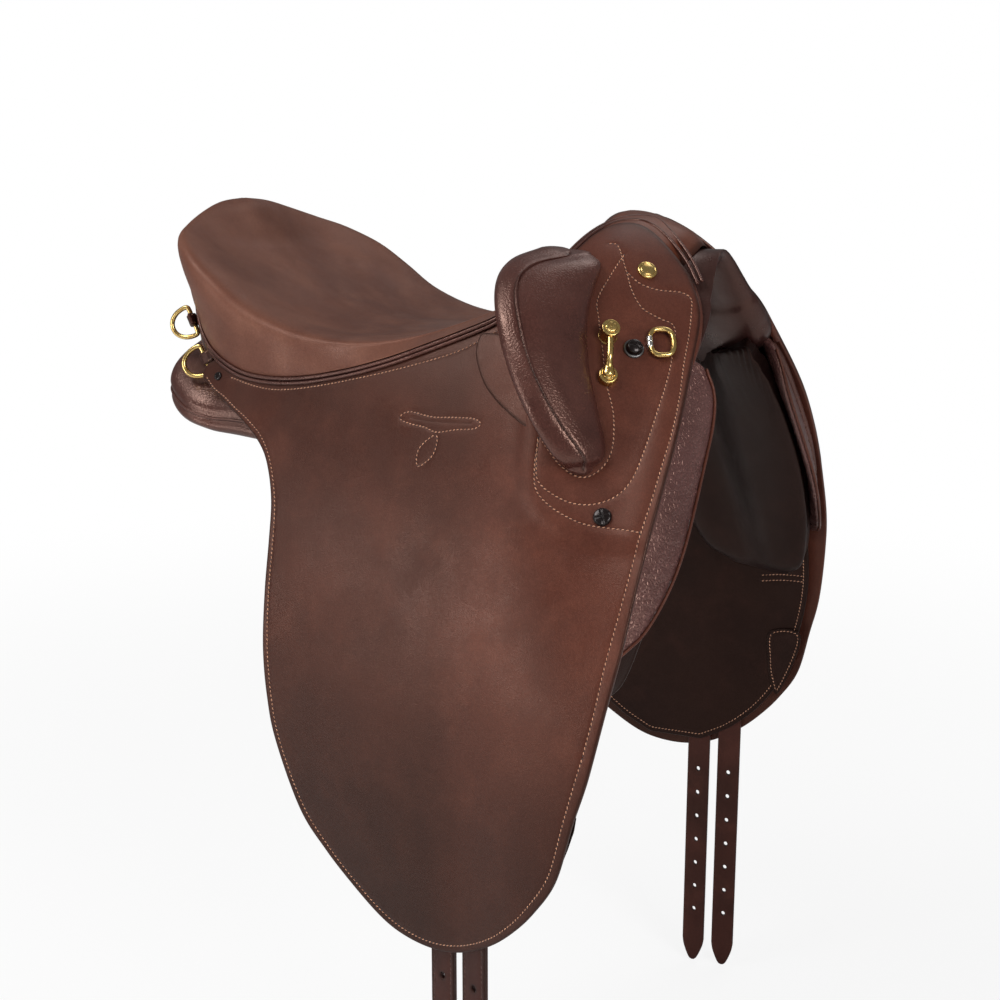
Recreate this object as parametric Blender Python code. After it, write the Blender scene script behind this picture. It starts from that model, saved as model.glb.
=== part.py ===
# An Australian stock saddle as separate pieces, in metres.
# +X points to the horse's head, +Y to its left side, +Z up.
# The origin is the point between the panels that rests over the horse's spine or on a saddle rack.
import bpy
import bmesh
import math
from mathutils import Vector

OBJECT_NAME = "australian_stock_saddle"
SIDES = (("right", -1), ("left", 1))

# Outer face of the side leathers: half width at the back of the saddle and at the front arch
SKIN_BASE_Z = -0.320
BARREL_HEIGHT = 0.475
BARREL_HALF_WIDTH = 0.238
BARREL_WIDTH_X = 0.170
BARREL_TAPER = 0.130
ARCH_DROP = 0.022
DROP_START_X = 0.170
DROP_LENGTH = 0.080
ARCH_HALF_WIDTH = 0.250
ARCH_POWER = 2.4
BLEND_START_X = 0.150
BLEND_LENGTH = 0.120
SLOPE_STEP = 0.001

# Layers, measured square to that face
FIT_GAP = 0.0004
SEWN_GAP = 0.0008
PAD_GAP = 0.0014
FLAP_THICKNESS = 0.0035
FACING_LIFT = 0.0011
FACING_THICKNESS = 0.0020
TONGUE_LIFT = 0.0006
STRAP_DEPTH = 0.0055
STRAP_THICKNESS = 0.0045
ROLL_DEPTH = 0.0050
SWEAT_DEPTH = STRAP_DEPTH + STRAP_THICKNESS + SEWN_GAP
SWEAT_THICKNESS = 0.0030
FRONT_PAD_DEPTH = SWEAT_DEPTH + SWEAT_THICKNESS + PAD_GAP
FRONT_PAD_THICKNESS = 0.0200

# Upper flap in columns: station, lower end, upper end. Lower flap in rows: height, rear end, front end
FLEX_Z = -0.062
FLEX_GAP = SEWN_GAP
FLEX_AXIS_AT = (0.180, 0.2004)
FLAP_COLUMNS = (
    (-0.156, 0.0210, 0.0270), (-0.140, 0.0120, 0.0350), (-0.120, 0.0015, 0.0300),
    (-0.098, -0.0100, 0.0265), (-0.077, -0.0230, 0.0260), (-0.065, -0.0380, 0.0265),
    (-0.055, FLEX_Z, 0.0275), (-0.025, FLEX_Z, 0.0310), (0.005, FLEX_Z, 0.0370), (0.035, FLEX_Z, 0.0460),
    (0.070, FLEX_Z, 0.0590), (0.105, FLEX_Z, 0.0725), (0.140, FLEX_Z, 0.0930), (0.175, FLEX_Z, 0.1000),
    (0.210, FLEX_Z, 0.1010), (0.235, FLEX_Z, 0.1010), (0.249, FLEX_Z, 0.0960), (0.256, FLEX_Z, 0.0820),
    (0.261, FLEX_Z, 0.0580), (0.266, FLEX_Z, 0.0220), (0.2695, FLEX_Z, -0.0400))
FLAP_STEPS = 8
SKIRT_ROWS = (
    (-0.100, -0.052, 0.2700), (-0.140, -0.051, 0.268), (-0.190, -0.047, 0.262), (-0.235, -0.035, 0.252),
    (-0.280, -0.015, 0.239), (-0.315, 0.012, 0.221), (-0.342, 0.046, 0.195), (-0.360, 0.076, 0.166),
    (-0.370, 0.106, 0.138))
SKIRT_COLUMNS = 12

# Facing around the head, and the small leather behind the knee pad
FACING_ROWS = (
    (-0.056, 0.226, 0.2680), (-0.047, 0.203, 0.2690), (-0.026, 0.186, 0.2680), (0.002, 0.181, 0.2670),
    (0.014, 0.184, 0.2660), (0.035, 0.174, 0.2640), (0.060, 0.167, 0.2600), (0.086, 0.161, 0.2530),
    (0.102, 0.160, 0.2430), (0.116, 0.163, 0.2270), (0.130, 0.168, 0.2090), (0.142, 0.177, 0.1910))
TONGUE_ROWS = (
    (0.010, 0.172, 0.181), (0.018, 0.157, 0.179), (0.027, 0.141, 0.174), (0.038, 0.128, 0.170),
    (0.056, 0.114, 0.163), (0.070, 0.113, 0.159))
FACING_COLUMNS = 6
TONGUE_COLUMNS = 3

# Sweat flap under the girth straps
SWEAT_ROWS = (
    (-0.020, -0.005, 0.2590), (-0.060, -0.018, 0.2590), (-0.100, -0.020, 0.2566), (-0.140, -0.019, 0.2548),
    (-0.190, -0.013, 0.252), (-0.235, -0.001, 0.243), (-0.280, 0.015, 0.229), (-0.315, 0.036, 0.208),
    (-0.342, 0.066, 0.180), (-0.360, 0.098, 0.150))
SWEAT_COLUMNS = 10

# Knee pad: height, front end, rear end, how far it stands out
PAD_ROWS = (
    (-0.014, 0.221, 0.209, 0.008), (-0.004, 0.226, 0.200, 0.020), (0.022, 0.214, 0.182, 0.033),
    (0.052, 0.200, 0.163, 0.041), (0.082, 0.190, 0.146, 0.045), (0.104, 0.186, 0.134, 0.044),
    (0.117, 0.184, 0.134, 0.036), (0.124, 0.174, 0.145, 0.018))
PAD_LIFT = FACING_LIFT + FACING_THICKNESS + SEWN_GAP
PAD_WELT_LIFT = 0.0050
PAD_WELT_X = 0.1660
PAD_WELT_SPAN = 0.0220
PAD_GUSSET = 0.009

# Front roll behind the flap edge: height, front end, how far it reaches inward
ROLL_ROWS = (
    (0.060, 0.268, 0.010), (0.050, 0.273, 0.026), (0.034, 0.275, 0.031), (0.010, 0.277, 0.034),
    (-0.018, 0.279, 0.036), (-0.044, 0.279, 0.038), (-0.068, 0.279, 0.039), (-0.092, 0.278, 0.036),
    (-0.112, 0.277, 0.026), (-0.126, 0.276, 0.012))
ROLL_WIDTH = 0.020

# Long pad inside the knee: height, rear end, front end
FRONT_PAD_ROWS = (
    (0.016, 0.172, 0.230), (0.004, 0.152, 0.243), (-0.030, 0.140, 0.250), (-0.070, 0.136, 0.253),
    (-0.110, 0.142, 0.252), (-0.146, 0.158, 0.248), (-0.162, 0.180, 0.236))
FRONT_PAD_SLOPE = 0.450

# Panels: station, then inner bottom, outer bottom, outer top and inner top corner (half width, height)
PANEL_STATIONS = (
    (-0.211, (0.058, 0.014), (0.104, 0.002), (0.106, 0.026), (0.060, 0.048)),
    (-0.203, (0.042, 0.004), (0.122, -0.014), (0.124, 0.024), (0.046, 0.058)),
    (-0.178, (0.036, 0.001), (0.138, -0.025), (0.134, 0.012), (0.044, 0.060)),
    (-0.150, (0.034, 0.000), (0.143, -0.031), (0.134, 0.006), (0.044, 0.0422)),
    (-0.120, (0.034, -0.001), (0.144, -0.033), (0.133, 0.008), (0.046, 0.0300)),
    (-0.060, (0.034, -0.001), (0.146, -0.037), (0.134, 0.007), (0.050, 0.0288)),
    (0.000, (0.034, 0.000), (0.142, -0.036), (0.134, 0.009), (0.052, 0.0357)),
    (0.070, (0.036, 0.005), (0.134, -0.030), (0.131, 0.013), (0.056, 0.0586)),
    (0.120, (0.040, 0.017), (0.126, -0.015), (0.128, 0.020), (0.060, 0.0650)),
    (0.165, (0.042, 0.033), (0.118, 0.020), (0.119, 0.042), (0.062, 0.0722)),
    (0.200, (0.042, 0.052), (0.100, 0.034), (0.104, 0.052), (0.056, 0.0826)),
    (0.226, (0.036, 0.060), (0.078, 0.044), (0.082, 0.056), (0.048, 0.0805)))
PANEL_RING = 14
PANEL_SQUARENESS = 0.62

# Seat surface from front to back: lower edge (x, z, and its half width where it leaves the flap),
# shoulder (x, half width, z) and centre (x, z)
SEAT_STATIONS = (
    ((0.157, 0.1200), (0.160, 0.060, 0.138), (0.163, 0.1470)),
    ((0.140, 0.0985), (0.142, 0.084, 0.112), (0.144, 0.1230)),
    ((0.129, 0.0888), (0.130, 0.096, 0.100), (0.131, 0.1090)),
    ((0.118, 0.0800), (0.118, 0.104, 0.089), (0.118, 0.0970)),
    ((0.072, 0.0615), (0.072, 0.117, 0.071), (0.072, 0.0755)),
    ((0.033, 0.0475), (0.033, 0.124, 0.061), (0.033, 0.0660)),
    ((-0.010, 0.0360), (-0.010, 0.131, 0.057), (-0.010, 0.0640)),
    ((-0.056, 0.0285), (-0.056, 0.137, 0.062), (-0.056, 0.0710)),
    ((-0.101, 0.0285), (-0.101, 0.141, 0.078), (-0.100, 0.0870)),
    ((-0.134, 0.0370), (-0.134, 0.142, 0.100), (-0.128, 0.1020)),
    ((-0.162, 0.0530, 0.1220), (-0.162, 0.138, 0.119), (-0.152, 0.1160)),
    ((-0.184, 0.0760, 0.1060), (-0.188, 0.121, 0.134), (-0.174, 0.1310)),
    ((-0.198, 0.0980, 0.0860), (-0.202, 0.095, 0.143), (-0.187, 0.1455)),
    ((-0.207, 0.1160, 0.0580), (-0.213, 0.062, 0.151), (-0.197, 0.1560)),
    ((-0.2115, 0.1240, 0.0300), (-0.2180, 0.034, 0.157), (-0.2035, 0.1625)),
    ((-0.2135, 0.1265, 0.0030), (-0.2195, 0.0060, 0.160), (-0.2090, 0.1650)))
SEAT_LIFT = 0.0027
SEAT_BACK_STATION = 9
SEAT_SPAN_STEPS = 3
COVER_THICKNESS = 0.0018
FOAM_INSET = 0.0033
FOAM_RISE = 0.0040
FOAM_BACK_RISE = 0.0180
FOAM_STATIONS = (3, 12)
FOAM_STEPS = 18
FOAM_EDGE = 0.0010
FOAM_FOOT = 0.84
WELT_RADIUS = 0.0019
WELT_DROP = 0.0044
WELT_START = 2

# Cantle back leather: half width points of its lower edge
CANTLE_LOW = ((-0.140, 0.1200, 0.0220), (-0.166, 0.1120, 0.0310), (-0.187, 0.0980, 0.0430),
              (-0.202, 0.0760, 0.0520), (-0.211, 0.0480, 0.0610), (-0.214, 0.0180, 0.0630))
CANTLE_TOP_INSET = 0.0026
CANTLE_TOP_RISE = 0.0005
CANTLE_CENTRE_X = -0.0900
CANTLE_THICKNESS = 0.0022

# Tree: station, half width, top height, drop at the sides
TREE_STATIONS = (
    (-0.192, 0.062, 0.0880, 0.012), (-0.178, 0.088, 0.0700, 0.010), (-0.150, 0.102, 0.0470, 0.008),
    (-0.110, 0.110, 0.0325, 0.006), (-0.060, 0.110, 0.0315, 0.006), (-0.010, 0.104, 0.0385, 0.008),
    (0.040, 0.1106, 0.0520, 0.007), (0.085, 0.1106, 0.0690, 0.020), (0.120, 0.090, 0.0820, 0.026),
    (0.156, 0.078, 0.1120, 0.040), (0.185, 0.070, 0.1330, 0.044), (0.214, 0.060, 0.1180, 0.036))
TREE_THICKNESS = 0.0060
TREE_SPAN = 10

# Steel gullet plate under the head
GULLET_X = 0.192
GULLET_WIDTH = 0.022
GULLET_HALF = 0.052
GULLET_TOP = 0.1172
GULLET_DROP = 0.0320
GULLET_THICKNESS = 0.0030

# Stirrup bars
BAR_PATH = ((0.046, 0.1130), (0.126, 0.1130), (0.133, 0.1150), (0.136, 0.1195), (0.133, 0.1240),
            (0.126, 0.1260), (0.062, 0.1260))
BAR_THICKNESS = 0.0040
BAR_Z = 0.0400
BAR_HEIGHT = 0.0100
CATCH_X = 0.0520
CATCH_Y = 0.1154
CATCH_WIDTH = 0.0100
CATCH_THICKNESS = 0.0030
CATCH_HEIGHT = 0.0170

# Head
HEAD_COVER_ROWS = ((0.170, 0.208, 0.066), (0.168, 0.218, 0.054), (0.166, 0.224, 0.038),
                   (0.165, 0.226, 0.019), (0.165, 0.226, 0.0))
HEAD_COVER_STEPS = 5
HEAD_COVER_LIFT = 0.0
HEAD_COVER_THICKNESS = 0.0020
HEAD_WELT_RADIUS = 0.0016
HEAD_WELT = ((0.1600, 0.1170), (0.1650, 0.1330), (0.1730, 0.1440), (0.1830, 0.1480), (0.1940, 0.1450),
             (0.2110, 0.1330), (0.2270, 0.1200))
ARCH_ROLL_PATH = ((0.252, 0.0740), (0.250, 0.0820), (0.246, 0.0930), (0.241, 0.1040), (0.237, 0.1150))
ARCH_ROLL_DEPTH = 0.0125
ARCH_ROLL_TOP = (0.235, 0.1170)
ARCH_ROLL_RADIUS = 0.0085

# Girth straps
STRAP_X = {"right": (0.134, 0.163), "left": (0.147, 0.176)}
STRAP_NAMES = ("rear", "front")
STRAP_WIDTH = 0.0212
STRAP_TOP_Z = -0.060
STRAP_END_Z = -0.604
STRAP_POINT = 0.024
STRAP_HOLE_PITCH = 0.0254
STRAP_HOLES = 7
STRAP_FIRST_HOLE_Z = -0.394
STRAP_HOLE_RADIUS = 0.0019
STRAP_ROWS = (-0.100, -0.140, -0.190, -0.235, -0.280, -0.315, -0.342, -0.370)

# Rear dees and chapes of the left side: bar centre, bar direction, loop direction, chape direction
DEES = (
    ("low", (-0.164, 0.1210, 0.0335), (-0.45, -0.02, 0.89), (-0.75, 0.35, -0.36), (0.85, 0.26, -0.15)),
    ("high", (-0.1885, 0.1070, 0.0635), (-0.40, 0.05, 0.92), (-0.85, 0.30, -0.43), (0.60, 0.76, -0.10)))
DEE_WIRE = 0.0020
DEE_BAR = 0.0250
DEE_DEPTH = 0.0200
CHAPE_WIDTH = 0.0100
CHAPE_THICKNESS = 0.0016
CHAPE_TAIL = 0.0120
CHAPE_END_GAP = 0.0010

# Brass and steel on the facing: (x, z) on the outer face
BUTTON_AT = (0.211, 0.1130)
BUTTON_RADIUS = 0.0075
BUTTON_HEIGHT = 0.0030
STAPLE_TOP_AT = (0.2050, 0.0700)
STAPLE_LOW_AT = (0.2135, 0.0430)
STAPLE_GAP = 0.0006
STAPLE_BOSS_RADIUS = 0.0068
STAPLE_EYE_RADIUS = 0.0072
STAPLE_EYE_HEIGHT = 0.0060
STAPLE_HEIGHT = 0.0132
STAPLE_ROD_RADIUS = 0.0026
STAPLE_SCREW_RADIUS = 0.0042
STAPLE_SCREW_HEIGHT = 0.0016
POST_AT = (0.2225, 0.0610)
POST_RADIUS = 0.0058
POST_HEIGHT = 0.0060
RING_AT = (0.2380, 0.0635)
RING_LIFT = 0.0062
RING_HALF_WIDTH = 0.0085
RING_HALF_HEIGHT = 0.0110
RING_WIRE = 0.0020
LOW_SCREW_AT = (0.2370, -0.0450)
LOW_SCREW_RADIUS = 0.0064
LOW_SCREW_HEIGHT = 0.0030
TAIL_SCREW_AT = (-0.1365, 0.0225)
TAIL_SCREW_RADIUS = 0.0036
TAIL_SCREW_HEIGHT = 0.0014
ROUND_STEPS = 16
DOME_RIM = 0.7

COLOURS = {
    "flap_leather": (0.13, 0.045, 0.028, 1.0),
    "seat_leather": (0.10, 0.040, 0.030, 1.0),
    "pad_leather": (0.055, 0.022, 0.020, 1.0),
    "strap_leather": (0.045, 0.016, 0.012, 1.0),
    "foam": (0.75, 0.68, 0.50, 1.0),
    "tree_shell": (0.10, 0.10, 0.10, 1.0),
    "steel": (0.45, 0.45, 0.46, 1.0),
    "brass": (0.75, 0.52, 0.20, 1.0),
    "black_metal": (0.02, 0.02, 0.02, 1.0)}


def clear_scene():
    for obj in list(bpy.data.objects):
        bpy.data.objects.remove(obj)


def smooth(t):
    t = min(1.0, max(0.0, t))
    return t * t * (3.0 - 2.0 * t)


def half_width(x, z):
    height = BARREL_HEIGHT - ARCH_DROP * smooth((x - DROP_START_X) / DROP_LENGTH)
    level = min(1.0, max(0.0, (z - SKIN_BASE_Z) / height))
    back = BARREL_HALF_WIDTH + BARREL_TAPER * (x - BARREL_WIDTH_X)
    back *= math.sqrt(1.0 - level * level)
    front = ARCH_HALF_WIDTH * (1.0 - level ** ARCH_POWER)
    part = smooth((x - BLEND_START_X) / BLEND_LENGTH)
    return back + (front - back) * part


def skin_normal(side, x, z):
    along = (half_width(x + SLOPE_STEP, z) - half_width(x - SLOPE_STEP, z)) / (2.0 * SLOPE_STEP)
    up = (half_width(x, z + SLOPE_STEP) - half_width(x, z - SLOPE_STEP)) / (2.0 * SLOPE_STEP)
    return Vector((-along, side, -up)).normalized()


def skin(side, x, z, lift=0.0):
    return Vector((x, side * half_width(x, z), z)) + skin_normal(side, x, z) * lift


def make_object(name, verts, faces, material, rounded):
    mesh = bpy.data.meshes.new(name)
    mesh.from_pydata([tuple(v) for v in verts], [], faces)
    tidy = bmesh.new()
    tidy.from_mesh(mesh)
    bmesh.ops.recalc_face_normals(tidy, faces=tidy.faces)
    tidy.to_mesh(mesh)
    tidy.free()
    for polygon in mesh.polygons:
        polygon.use_smooth = rounded
    obj = bpy.data.objects.new(name, mesh)
    collection.objects.link(obj)
    shader = bpy.data.materials.new(name + "_material")
    shader.use_nodes = True
    shader.node_tree.nodes["Principled BSDF"].inputs["Base Color"].default_value = COLOURS[material]
    obj.data.materials.append(shader)
    return obj


def loft(name, rings, material, rounded=True, closed=False, strip_ends=False):
    count = len(rings[0])
    verts = [point for ring in rings for point in ring]
    faces = []
    rows = len(rings)
    for i in range(rows if closed else rows - 1):
        a = i * count
        b = ((i + 1) % rows) * count
        for j in range(count):
            k = (j + 1) % count
            faces.append((a + j, a + k, b + k, b + j))
    if not closed:
        for start in (0, (rows - 1) * count):
            if strip_ends:
                last = start + count - 1
                faces += [(start + j, start + j + 1, last - j - 1, last - j) for j in range(count // 2 - 1)]
            else:
                faces.append(tuple(range(start, start + count)))
    return make_object(name, verts, faces, material, rounded)


def sheet(name, outer, inner, material):
    rings = [list(top) + list(reversed(low)) for top, low in zip(outer, inner)]
    return loft(name, rings, material, strip_ends=True)


def skin_sheet(name, side, rows, columns, lift, thickness, material):
    outer = []
    inner = []
    for z, rear, front in rows:
        xs = [rear + (front - rear) * i / columns for i in range(columns + 1)]
        outer.append([skin(side, x, z, lift) for x in xs])
        inner.append([skin(side, x, z, lift - thickness) for x in xs])
    return sheet(name, outer, inner, material)


def tube(name, path, radius, material, steps=8, closed=False, end_scale=1.0):
    path = [Vector(p) for p in path]
    rings = []
    count = len(path)
    side_axis = None
    for i, point in enumerate(path):
        ahead = path[(i + 1) % count] if closed or i < count - 1 else point
        behind = path[i - 1] if closed or i > 0 else point
        along = (ahead - behind).normalized()
        if side_axis is None:
            helper = Vector((0.0, 0.0, 1.0)) if abs(along.z) < 0.9 else Vector((1.0, 0.0, 0.0))
            side_axis = along.cross(helper).normalized()
        side_axis = (side_axis - along * side_axis.dot(along)).normalized()
        other = along.cross(side_axis)
        size = radius * (end_scale if not closed and i in (0, count - 1) else 1.0)
        ring = []
        for k in range(steps):
            angle = 2.0 * math.pi * k / steps
            ring.append(point + side_axis * (size * math.cos(angle)) + other * (size * math.sin(angle)))
        rings.append(ring)
    return loft(name, rings, material, closed=closed)


def frame_of(normal, up_hint=Vector((0.0, 0.0, 1.0))):
    up = (up_hint - normal * up_hint.dot(normal)).normalized()
    return up.cross(normal), up


def disc(name, centre, normal, profile, material, steps=ROUND_STEPS):
    across, up = frame_of(normal)
    rings = []
    for height, radius in profile:
        ring = []
        for k in range(steps):
            angle = 2.0 * math.pi * k / steps
            ring.append(centre + normal * height + across * (radius * math.cos(angle))
                        + up * (radius * math.sin(angle)))
        rings.append(ring)
    return loft(name, rings, material)


def stud(name, side, place, radius, height, lift, material):
    normal = skin_normal(side, *place)
    profile = ((0.0, radius), (height * 0.6, radius), (height, radius * DOME_RIM))
    return disc(name, skin(side, place[0], place[1], lift), normal, profile, material)


def spline(points, steps):
    result = []
    for i in range(len(points) - 1):
        p1 = Vector(points[i])
        p2 = Vector(points[i + 1])
        p0 = Vector(points[i - 1]) if i > 0 else p1 * 2.0 - p2
        p3 = Vector(points[i + 2]) if i + 2 < len(points) else p2 * 2.0 - p1
        for k in range(steps):
            t = k / steps
            result.append(0.5 * (p1 * 2.0 + (p2 - p0) * t + (p0 * 2.0 - p1 * 5.0 + p2 * 4.0 - p3) * t * t
                                 + (p1 * 3.0 - p0 - p2 * 3.0 + p3) * t * t * t))
    result.append(Vector(points[-1]))
    return result


def mirror_y(point):
    return Vector((point[0], -point[1], point[2]))


def seat_edge(station):
    edge = station[0]
    if len(edge) == 3:
        return Vector((edge[0], edge[2], edge[1]))
    return skin(1, edge[0], edge[1], SEAT_LIFT)


def seat_profile(station):
    edge = seat_edge(station)
    shoulder, centre = station[1], station[2]
    middle = (0.5 * (shoulder[0] + centre[0]), 0.5 * shoulder[1], 0.4 * shoulder[2] + 0.6 * centre[1])
    half = [edge, shoulder, middle, (centre[0], 0.0, centre[1])]
    full = half + [mirror_y(p) for p in reversed(half[:-1])]
    return spline(full, SEAT_SPAN_STEPS)


def grid_normals(grid):
    rows = len(grid)
    count = len(grid[0])
    result = []
    for i in range(rows):
        line = []
        for j in range(count):
            along = grid[min(i + 1, rows - 1)][j] - grid[max(i - 1, 0)][j]
            across = grid[i][min(j + 1, count - 1)] - grid[i][max(j - 1, 0)]
            line.append(along.cross(across).normalized())
        result.append(line)
    return result


def offset_grid(grid, depth):
    normals = grid_normals(grid)
    return [[point - normal * depth for point, normal in zip(row, line)] for row, line in zip(grid, normals)]


def make_seat():
    grid = [seat_profile(station) for station in SEAT_STATIONS]
    inner = offset_grid(grid, COVER_THICKNESS)
    sheet("seat_cover", grid, inner, "seat_leather")
    below = offset_grid(grid, FOAM_INSET)
    rings = []
    for station, row in list(zip(SEAT_STATIONS, below))[FOAM_STATIONS[0]:FOAM_STATIONS[1]]:
        floor = station[0][1] + (FOAM_RISE if len(station[0]) == 2 else FOAM_BACK_RISE)
        half = [p for p in row if p.y >= 0.0 and p.z > floor + FOAM_EDGE]
        reach = max(p.y for p in half)
        top = []
        low = []
        for k in range(FOAM_STEPS + 1):
            y = reach * (1.0 - 2.0 * k / FOAM_STEPS)
            point = nearest_height(half, abs(y))
            top.append(Vector((point.x, y, point.z)))
            low.append(Vector((point.x, y * FOAM_FOOT, floor)))
        rings.append(top + list(reversed(low)))
    loft("seat_foam", rings, "foam")
    return [min(row[0].z, under[0].z) for row, under in zip(grid, inner)]


def nearest_height(points, y):
    points = sorted(points, key=lambda p: p.y)
    for a, b in zip(points[:-1], points[1:]):
        if a.y <= y <= b.y and b.y > a.y:
            return a.lerp(b, (y - a.y) / (b.y - a.y))
    return points[-1] if y > points[-1].y else points[0]


def make_welt(lows):
    path = []
    for i, station in list(enumerate(SEAT_STATIONS))[WELT_START:]:
        edge = seat_edge(station)
        if i <= SEAT_BACK_STATION:
            path.append(skin(1, edge.x, lows[i] - WELT_DROP, WELT_RADIUS + FIT_GAP))
        else:
            path.append(Vector((edge.x - WELT_RADIUS * 0.5, edge.y + WELT_RADIUS * 0.5, lows[i] - WELT_DROP)))
    path.append(Vector((-0.2145, 0.0, 0.1235)))
    full = path + [mirror_y(p) for p in reversed(path[:-1])]
    tube("seat_welt", full, WELT_RADIUS, "pad_leather", steps=6)


def make_cantle_back():
    tops = []
    for station in SEAT_STATIONS[SEAT_BACK_STATION:]:
        edge = seat_edge(station)
        pull = (Vector((CANTLE_CENTRE_X, 0.0, edge.z)) - edge).normalized()
        tops.append(edge + pull * CANTLE_TOP_INSET + Vector((0.0, 0.0, CANTLE_TOP_RISE)))
    lows = [Vector(p) for p in CANTLE_LOW]
    tops = tops + [mirror_y(p) for p in reversed(tops)]
    lows = lows + [mirror_y(p) for p in reversed(lows)]
    outer = []
    for top, low in zip(tops, lows):
        outer.append([low, (top + low) * 0.5, top])
    sheet("cantle_back", outer, offset_grid(outer, CANTLE_THICKNESS), "seat_leather")


def arch_ring(x, half, top, drop, thickness):
    outer = []
    inner = []
    for k in range(TREE_SPAN + 1):
        angle = (2.0 * k / TREE_SPAN - 1.0) * math.pi * 0.5
        outer.append(Vector((x, half * math.sin(angle), top - drop * (1.0 - math.cos(angle)))))
        narrow = half - thickness
        inner.append(Vector((x, narrow * math.sin(angle),
                             top - thickness - drop * (1.0 - math.cos(angle)))))
    return outer + list(reversed(inner))


def make_tree():
    rings = [arch_ring(x, half, top, drop, TREE_THICKNESS) for x, half, top, drop in TREE_STATIONS]
    loft("tree", rings, "tree_shell")
    rings = []
    for x in (GULLET_X - GULLET_WIDTH * 0.5, GULLET_X + GULLET_WIDTH * 0.5):
        rings.append(arch_ring(x, GULLET_HALF, GULLET_TOP, GULLET_DROP, GULLET_THICKNESS))
    loft("gullet_plate", rings, "steel")


def make_bar(tag, side):
    points = [Vector((x, side * y, 0.0)) for x, y in BAR_PATH]
    rings = []
    for i, point in enumerate(points):
        ahead = points[min(i + 1, len(points) - 1)]
        behind = points[max(i - 1, 0)]
        along = (ahead - behind).normalized()
        across = Vector((-along.y, along.x, 0.0)) * (BAR_THICKNESS * 0.5)
        low = Vector((0.0, 0.0, BAR_Z))
        high = Vector((0.0, 0.0, BAR_Z + BAR_HEIGHT))
        rings.append([point + across + low, point - across + low, point - across + high,
                      point + across + high])
    loft("stirrup_bar_" + tag, rings, "steel", rounded=False)
    rings = []
    for y in (CATCH_Y, CATCH_Y + CATCH_WIDTH):
        rings.append([Vector((CATCH_X - CATCH_THICKNESS * 0.5, side * y, BAR_Z)),
                      Vector((CATCH_X + CATCH_THICKNESS * 0.5, side * y, BAR_Z)),
                      Vector((CATCH_X + CATCH_THICKNESS * 0.5, side * y, BAR_Z + CATCH_HEIGHT)),
                      Vector((CATCH_X - CATCH_THICKNESS * 0.5, side * y, BAR_Z + CATCH_HEIGHT))])
    catch = loft("stirrup_catch_" + tag, rings, "steel", rounded=False)
    set_origin(catch, Vector((CATCH_X, side * (CATCH_Y + CATCH_WIDTH * 0.5),
                              BAR_Z + CATCH_THICKNESS * 0.5)))


def set_origin(obj, point):
    for vertex in obj.data.vertices:
        vertex.co -= point
    obj.location = point


def pad_ring(side, row):
    z, front, rear, height = row
    ring = []
    steps = 5
    for i in range(steps + 1):
        x = front + (rear - front) * i / steps
        ring.append(skin(side, x, z, pad_lift(x)))
    out = Vector((0.0, side, 0.0))
    seam_x = rear + PAD_GUSSET
    outline = ((rear - 0.002, 0.55), (rear, 0.90), (seam_x, 1.0), (0.5 * (seam_x + front), 0.86),
               (front - 0.004, 0.50), (front + 0.001, 0.18))
    for x, share in outline:
        ring.append(skin(side, x, z, pad_lift(x)) + out * (height * share))
    return ring


def pad_lift(x):
    return PAD_LIFT + PAD_WELT_LIFT * smooth((PAD_WELT_X - x) / PAD_WELT_SPAN)


def make_head():
    full = [(a, b, -h) for a, b, h in HEAD_COVER_ROWS]
    full += [(a, b, h) for a, b, h in reversed(HEAD_COVER_ROWS[:-1])]
    columns = []
    for low_x, high_x, y in full:
        xs = [low_x + (high_x - low_x) * i / HEAD_COVER_STEPS for i in range(HEAD_COVER_STEPS + 1)]
        columns.append([Vector((x, y, head_height(x, abs(y)))) for x in xs])
    sheet("head_cover", columns, offset_grid(columns, -HEAD_COVER_THICKNESS), "seat_leather")
    path = [skin(-1, x, z, -ARCH_ROLL_DEPTH) for x, z in ARCH_ROLL_PATH]
    top = Vector((ARCH_ROLL_TOP[0], 0.0, ARCH_ROLL_TOP[1]))
    full = path + [top] + [mirror_y(p) for p in reversed(path)]
    tube("front_arch_roll", full, ARCH_ROLL_RADIUS, "pad_leather", steps=10, end_scale=0.55)


def head_height(x, y):
    low = 0.0
    high = SKIN_BASE_Z + BARREL_HEIGHT
    for _ in range(40):
        middle = 0.5 * (low + high)
        if half_width(x, middle) > y:
            low = middle
        else:
            high = middle
    return low + HEAD_COVER_LIFT


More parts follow.
